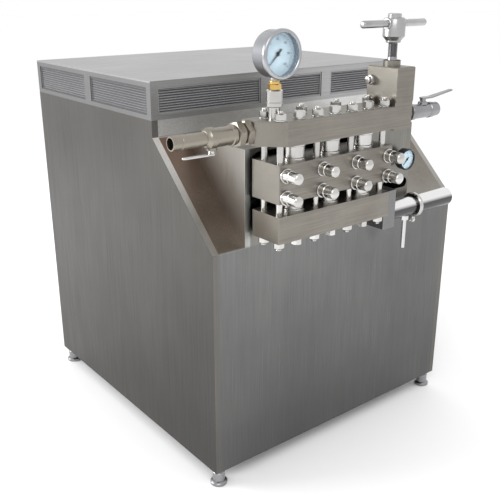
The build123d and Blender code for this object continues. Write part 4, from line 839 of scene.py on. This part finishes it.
def dial_marks(name, dial, radius, long_tick, short_tick, numbers, size):
    """Ticks, an arc and plain numbers on a dial that faces the front."""
    centre = middle(dial)
    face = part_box(dial)[0].y
    zero, sweep = radians(225), radians(270)
    raised = 0.12 * MM
    per_number = 5
    divisions = (len(numbers) - 1) * per_number
    marks = Piece(name)
    for i in range(divisions + 1):
        angle = zero - sweep * i / divisions
        major = i % per_number == 0
        length = long_tick if major else short_tick
        width = size * (0.11 if major else 0.055)
        along = Vector((cos(angle), 0, sin(angle)))
        across = Vector((-sin(angle), 0, cos(angle)))
        place = Matrix.Translation(Vector((centre.x, face, centre.z)) + along * (radius - length))
        turn = Matrix((along, FRONT, across)).transposed().to_4x4() @ Matrix.Rotation(pi / 2, 4, "X")
        outline = [(0, -width / 2), (length, -width / 2), (length, width / 2), (0, width / 2)]
        marks.plate(place @ turn, outline, -raised)
    steps = 60
    inner = radius - size * 0.05
    section = ((radius, 0), (inner, 0), (inner, -raised), (radius, -raised))
    angles = [zero - sweep * i / steps for i in range(steps + 1)]
    arc = [[(r * cos(a), y, r * sin(a)) for r, y in section] for a in angles]
    marks.skin(Matrix.Translation((centre.x, face, centre.z)), arc)
    marks.place(INK, "machine", "needle_black")

    reach = radius - long_tick - size * 0.62
    for i, number in enumerate(numbers):
        angle = zero - sweep * i / (len(numbers) - 1)
        text = bpy.data.curves.new(f"{name}_number_{i}", "FONT")
        text.body = str(number)
        text.size = size
        text.extrude = raised / 2
        text.align_x = "CENTER"
        text.align_y = "CENTER"
        label = bpy.data.objects.new(f"{name}_number_{i}", text)
        scene.collection.objects.link(label)
        label.location = (centre.x + reach * cos(angle), face - raised / 2, centre.z + reach * sin(angle))
        label.rotation_euler = (pi / 2, 0, 0)
        bpy.context.view_layer.update()
        shape = bpy.data.meshes.new_from_object(label.evaluated_get(bpy.context.evaluated_depsgraph_get()))
        solid = bpy.data.objects.new(f"{name}_figure_{i}", shape)
        solid.matrix_world = label.matrix_world.copy()
        scene.collection.objects.link(solid)
        bpy.data.objects.remove(label)
        shape.materials.clear()
        shape.materials.append(INK)
        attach(solid, "machine")


def small_gauge():
    """The small gauge's case with its bezel and its nut at the back, and its glass."""
    low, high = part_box("small_gauge_case")
    dial_low, dial_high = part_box("small_gauge_dial")
    centre = middle("small_gauge_dial")
    radius = (high.x - low.x) / 2
    recess = (dial_high.x - dial_low.x) / 2
    dial_back = dial_high.y - low.y
    back = high.y - 16 * MM
    depth = back - low.y
    core = 0.3 * MM
    loop = [
        (recess, 0.6 * MM),
        (recess + 1 * MM, 0),
        (radius - 1.4 * MM, 0.3 * MM),
        (radius, 2.2 * MM),
        (radius, 8 * MM),
        (radius - 1 * MM, 9 * MM),
        (radius - 1 * MM, depth - 4 * MM),
        (radius - 4 * MM, depth),
        (core, depth),
        (core, dial_back),
        (recess, dial_back),
    ]
    housing = Piece("small_gauge_case_turned")
    housing.turn_loop((centre.x, low.y, centre.z), BACK, loop, segments=60)
    housing.rounded((centre.x, back, centre.z), BACK, 9 * MM, high.y - back, 0.5 * MM, segments=30)
    housing.nut((centre.x, high.y - 9 * MM, centre.z), BACK, 24 * MM, 8.5 * MM)
    housing.place(CASE_BLACK, "machine", "polished_steel", ["small_gauge_case"])

    lens = Piece("small_gauge_glass")
    lens_back = (centre.x, low.y + 2.2 * MM, centre.z)
    lens.rounded(lens_back, FRONT, recess - 0.05 * MM, 1.2 * MM, 0.2 * MM, segments=48)
    lens.place(LENS_GLASS, "machine", "lens_glass")


def gauge_stem():
    """The main gauge's stem with its waist and its turned groove, and the brass nut on it."""
    low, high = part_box("gauge_stem")
    centre = middle("gauge_stem")
    radius, waist = (high.x - low.x) / 2, 13 * MM
    groove = radius - 1.2 * MM
    height = high.z - low.z
    step = 28 * MM
    profile = [
        (waist, 0),
        (waist, step - 1 * MM),
        (radius - 1.5 * MM, step),
        (radius, step + 1.5 * MM),
        (radius, step + 9 * MM),
        (groove, step + 10 * MM),
        (groove, step + 11.5 * MM),
        (radius, step + 12.5 * MM),
        (radius, height - 2 * MM),
        (radius - 2 * MM, height),
    ]
    stem = Piece("gauge_stem_turned")
    stem.turn((centre.x, centre.y, low.z), UP, profile, segments=44)
    stem.place(BRIGHT_STEEL, "machine", "polished_steel", ["gauge_stem"])

    nut_low, nut_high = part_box("gauge_nut")
    hexagon = 13 * MM
    collar_length = nut_high.z - nut_low.z - hexagon
    nut = Piece("gauge_nut_turned")
    nut.nut((centre.x, centre.y, nut_low.z), UP, 27 * MM, hexagon, roll=0.2)
    collar = (centre.x, centre.y, nut_low.z + hexagon)
    nut.rounded(collar, UP, 11.5 * MM, collar_length, 0.8 * MM, segments=32)
    nut.place(BRASS, "machine", "brass", ["gauge_nut"])


# Pipes and cocks

CORE = 0.5 * MM
STEM_BORE = 8.06 * MM


def left_line():
    """Union, cock and lever of the left pipe."""
    low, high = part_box("left_pipe")
    centre = middle("left_pipe")
    y, z = centre.y, centre.z
    nut_length, gap = 19 * MM, 4 * MM
    union = Piece("left_union")
    union.rounded((high.x, y, z), LEFT, 19 * MM, high.x - low.x, 0.5 * MM)
    for start in (high.x, low.x + nut_length):
        union.nut((start, y, z), LEFT, 54 * MM, nut_length, roll=0.25)
    union.rounded((high.x - nut_length, y, z), LEFT, 23 * MM, gap, 1 * MM)
    union.place(LEFT_PIPE_STEEL, "machine", "polished_steel", ["left_pipe"])

    cock_low, cock_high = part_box("left_cock")
    total, length = cock_high.x - cock_low.x, 78 * MM
    body, spigot, bore = 24 * MM, 16 * MM, 13 * MM
    barrel, groove = body - 2.5 * MM, spigot - 0.8 * MM
    bore_end = total - 60 * MM
    loop = [
        (CORE, 0),
        (body - 3 * MM, 0),
        (body, 2 * MM),
        (body, 10 * MM),
        (barrel, 12 * MM),
        (barrel, length - 22 * MM),
        (body, length - 20 * MM),
        (body, length - 6 * MM),
        (body - 4 * MM, length),
        (spigot, length + 2 * MM),
        (spigot, total - 26 * MM),
        (groove, total - 25 * MM),
        (groove, total - 24 * MM),
        (spigot, total - 23 * MM),
        (spigot, total - 0.8 * MM),
        (groove, total),
        (bore, total),
        (bore, bore_end),
        (CORE, bore_end),
    ]
    cock = Piece("left_cock_turned")
    cock.turn_loop((cock_high.x, y, z), LEFT, loop, segments=44)
    lever_low, lever_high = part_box("left_lever")
    root, tip = 9 * MM, 6 * MM
    stem_x = lever_high.x - root
    boss, boss_height = 12 * MM, 8.5 * MM
    cock.sleeve(
        (stem_x, y, z - 19 * MM),
        DOWN,
        [(boss, 0), (boss, boss_height - 1 * MM), (boss - 1 * MM, boss_height)],
        [(STEM_BORE, 0), (STEM_BORE, 4 * MM), (STEM_BORE, boss_height)],
        segments=32,
    )
    cock.place(LEFT_PIPE_STEEL, "machine", "polished_steel", ["left_cock"])

    thickness = 4 * MM
    stem_low = lever_low.z + thickness - 0.5 * MM
    outline = lever_outline(stem_x - lever_low.x, root, tip)
    turn = Matrix.Rotation(pi, 4, "Z")
    lever = Piece("left_lever_plate")
    lever.plate(Matrix.Translation((stem_x, y, lever_low.z)) @ turn, outline, thickness, 0.8 * MM)
    lever.rounded((stem_x, y, stem_low), UP, 8 * MM, lever_high.z - stem_low, 0.5 * MM, segments=30)
    lever.place(BRIGHT_STEEL, "left_cock_lever", "polished_steel", ["left_lever"])


def lever_outline(length, root, tip):
    """A tapered lever outline: round at its root at the origin and at its tip."""
    steps = 10
    root_angles = [pi / 2 + pi * i / steps for i in range(steps + 1)]
    tip_angles = [-pi / 2 + pi * i / steps for i in range(steps + 1)]
    points = [(root * cos(a), root * sin(a)) for a in root_angles]
    return points + [(length - tip + tip * cos(a), tip * sin(a)) for a in tip_angles]


def outlet_cock():
    """The outlet's cock with its neck, its bored end and the boss under its lever."""
    low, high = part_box("outlet_cock")
    centre = middle("outlet_cock")
    total = high.x - low.x
    neck, body, end, bore = 15 * MM, 21 * MM, 19 * MM, 17 * MM
    neck_end, body_end, bore_end = 46 * MM, 138 * MM, total - 20 * MM
    flange, barrel = neck + 3 * MM, body - 1.5 * MM
    loop = [
        (CORE, 0),
        (flange, 0),
        (flange, 5 * MM),
        (neck, 7 * MM),
        (neck, neck_end - 1 * MM),
        (body - 2 * MM, neck_end),
        (body, neck_end + 2 * MM),
        (body, neck_end + 16 * MM),
        (barrel, neck_end + 17.5 * MM),
        (barrel, body_end - 17 * MM),
        (body, body_end - 15.5 * MM),
        (body, body_end - 2 * MM),
        (end, body_end),
        (end, total - 2 * MM),
        (end - 2 * MM, total),
        (bore, total),
        (bore, bore_end),
        (CORE, bore_end),
    ]
    cock = Piece("outlet_cock_turned")
    cock.turn_loop((low.x, centre.y, centre.z), RIGHT, loop, segments=44)
    lever_low, lever_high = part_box("outlet_lever")
    stem_x = lever_low.x + (lever_high.y - lever_low.y) / 2
    boss, boss_height = 13 * MM, 7.5 * MM
    cock.sleeve(
        (stem_x, centre.y, centre.z + 17 * MM),
        UP,
        [(boss, 0), (boss, boss_height - 1.5 * MM), (boss - 1.5 * MM, boss_height)],
        [(STEM_BORE, 0), (STEM_BORE, 4 * MM), (STEM_BORE, boss_height)],
        segments=32,
    )
    cock.place(PIPE_STEEL, "machine", "polished_steel", ["outlet_cock"])


def inlet_clamp():
    """The inlet's clamp: a band with two ears, and the bolt and nuts that draw them together."""
    low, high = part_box("inlet_clamp")
    x, y = (low.x + high.x) / 2, middle("inlet_pipe").y
    width = high.x - low.x
    radius, inner, chamfer = 35 * MM, 31.6 * MM, 2.5 * MM
    z = high.z - radius
    clamp = Piece("inlet_clamp_bands")
    clamp.sleeve(
        (low.x, y, z),
        RIGHT,
        [(radius - 3 * MM, 0), (radius, chamfer), (radius, width - chamfer), (radius - 3 * MM, width)],
        [(32 * MM, 0), (inner, chamfer), (inner, width - chamfer), (32 * MM, width)],
        segments=56,
    )
    inset = 0.5 * MM
    ear_near, ear_far, ear_top = 2 * MM, 6.5 * MM, z - radius + 3 * MM
    for y_low, y_high in ((y - ear_far, y - ear_near), (y + ear_near, y + ear_far)):
        clamp.slab((low.x + inset, y_low, low.z), (high.x - inset, y_high, ear_top), 1.2 * MM)
    bolt_z = low.z + 6.75 * MM
    clamp.rounded((x, y - 9 * MM, bolt_z), BACK, 3 * MM, 18 * MM, 0.4 * MM, segments=20)
    for axis in (BACK, FRONT):
        clamp.nut(Vector((x, y, bolt_z)) + axis * ear_far, axis, 9 * MM, 2.4 * MM)
    clamp.place(BRIGHT_STEEL, "machine", "polished_steel", ["inlet_clamp"])


# Cabinet trim


def pan_screw(piece, origin, axis, radius, height):
    """A domed screw head."""
    steps = [radians(a) for a in (25, 50, 75)]
    profile = [(radius, 0)] + [(radius * cos(a) ** 0.6, height * sin(a)) for a in steps]
    piece.turn(origin, axis, profile, segments=20)


def panel_screws():
    """Pan-head screws round the rear panel."""
    screws = Piece("panel_screws")
    low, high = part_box("rear_panel")
    inset = 16 * MM
    radius, height = 5 * MM, 2.6 * MM
    rows, columns = 5, 4
    spots = []
    for i in range(rows):
        z = low.z + inset + (high.z - low.z - 2 * inset) * i / (rows - 1)
        spots += [(low.x + inset, z), (high.x - inset, z)]
    for i in range(1, columns):
        x = low.x + (high.x - low.x) * i / columns
        spots += [(x, low.z + inset), (x, high.z - inset)]
    for x, z in spots:
        pan_screw(screws, (x, CABINET_BACK, z), BACK, radius, height)
    screws.place(BRIGHT_STEEL, "machine", "polished_steel")


def feet():
    """Adjustable feet: a pad, a turned post, a lock nut and a rod up into the frame."""
    low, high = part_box("feet")
    pad, post = 23 * MM, 17 * MM
    nut_low, nut_high = 40 * MM, 49 * MM
    profile = [
        (pad - 1.5 * MM, 0),
        (pad, 1.5 * MM),
        (pad, 8 * MM),
        (pad - 3 * MM, 11 * MM),
        (post, 12.5 * MM),
        (post, 37.5 * MM),
        (post - 1.5 * MM, 39.5 * MM),
    ]
    posts = Piece("feet_turned")
    for x in (low.x + pad, high.x - pad):
        for y in (low.y + pad, high.y - pad):
            posts.turn((x, y, low.z), UP, profile, segments=44)
            posts.nut((x, y, nut_low), UP, 30 * MM, 9.8 * MM)
            posts.rounded((x, y, nut_high), UP, 8 * MM, high.z - nut_high, 0.5 * MM, segments=24)
    posts.place(PIPE_STEEL, "machine", "polished_steel", ["feet"])


# Stage, light and camera


def ground():
    """A plain pale floor."""
    mesh = bpy.data.meshes.new("floor")
    half = 30.0
    corners = [(-half, -half, 0), (half, -half, 0), (half, half, 0), (-half, half, 0)]
    mesh.from_pydata(corners, [], [(0, 1, 2, 3)])
    floor = bpy.data.objects.new("floor", mesh)
    scene.collection.objects.link(floor)
    material, tree, shader, coordinates = new_material("floor")
    shader.inputs["Base Color"].default_value = (0.965, 0.965, 0.965, 1)
    shader.inputs["Roughness"].default_value = 0.9
    mesh.materials.append(material)


def light():
    """A white background with a light of its own on matt surfaces, and soft lamps."""
    world = bpy.data.worlds.new("studio")
    scene.world = world
    world.use_nodes = True
    tree = world.node_tree
    background = tree.nodes["Background"]
    path = tree.nodes.new("ShaderNodeLightPath").outputs
    seen = calculated(tree, "MAXIMUM", path["Is Camera Ray"], path["Is Glossy Ray"])
    seen = calculated(tree, "MAXIMUM", seen, path["Is Transmission Ray"])
    tree.links.new(spread(tree, seen, WORLD_LIGHT, 1.0, 0.0, 1.0), background.inputs["Strength"])
    background.inputs["Color"].default_value = (1, 1, 1, 1)

    for name, place, aim, size, power, mirrored in LAMPS:
        data = bpy.data.lights.new(name, "AREA")
        data.shape = "RECTANGLE"
        data.size, data.size_y = size
        data.energy = power
        lamp = bpy.data.objects.new(name, data)
        lamp.visible_glossy = mirrored
        lamp.location = place
        lamp.rotation_euler = (Vector(aim) - Vector(place)).to_track_quat("-Z", "Y").to_euler()
        scene.collection.objects.link(lamp)


def camera():
    """The camera at the photograph's viewpoint."""
    data = bpy.data.cameras.new("camera")
    data.sensor_fit = "HORIZONTAL"
    data.sensor_width = SENSOR
    data.lens = CAMERA_LENS
    data.clip_end = 100
    flat = cos(CAMERA_ELEVATION)
    direction = Vector(
        (sin(CAMERA_AZIMUTH) * flat, -cos(CAMERA_AZIMUTH) * flat, sin(CAMERA_ELEVATION))
    )
    viewer = bpy.data.objects.new("camera", data)
    viewer.location = CAMERA_TARGET + direction * CAMERA_DISTANCE
    viewer.rotation_euler = (-direction).to_track_quat("-Z", "Y").to_euler()
    scene.collection.objects.link(viewer)
    scene.camera = viewer


camera()
ground()
light()
finish_nodes()
tie_rods()
cap_nuts()
valve_sleeves()
handle()
spindle()
side_plug()
gauge_housing()
gauge_stem()
dial_marks(
    "gauge_marks",
    "gauge_dial",
    radius=43 * MM,
    long_tick=6 * MM,
    short_tick=3.5 * MM,
    numbers=[0, 10, 20, 30, 40, 50, 60],
    size=8 * MM,
)
small_gauge()
dial_marks(
    "small_gauge_marks",
    "small_gauge_dial",
    radius=24 * MM,
    long_tick=3.6 * MM,
    short_tick=2 * MM,
    numbers=[0, 1, 2, 3, 4],
    size=5.4 * MM,
)
left_line()
outlet_cock()
inlet_clamp()
panel_screws()
feet()

scene.view_settings.view_transform = "Standard"
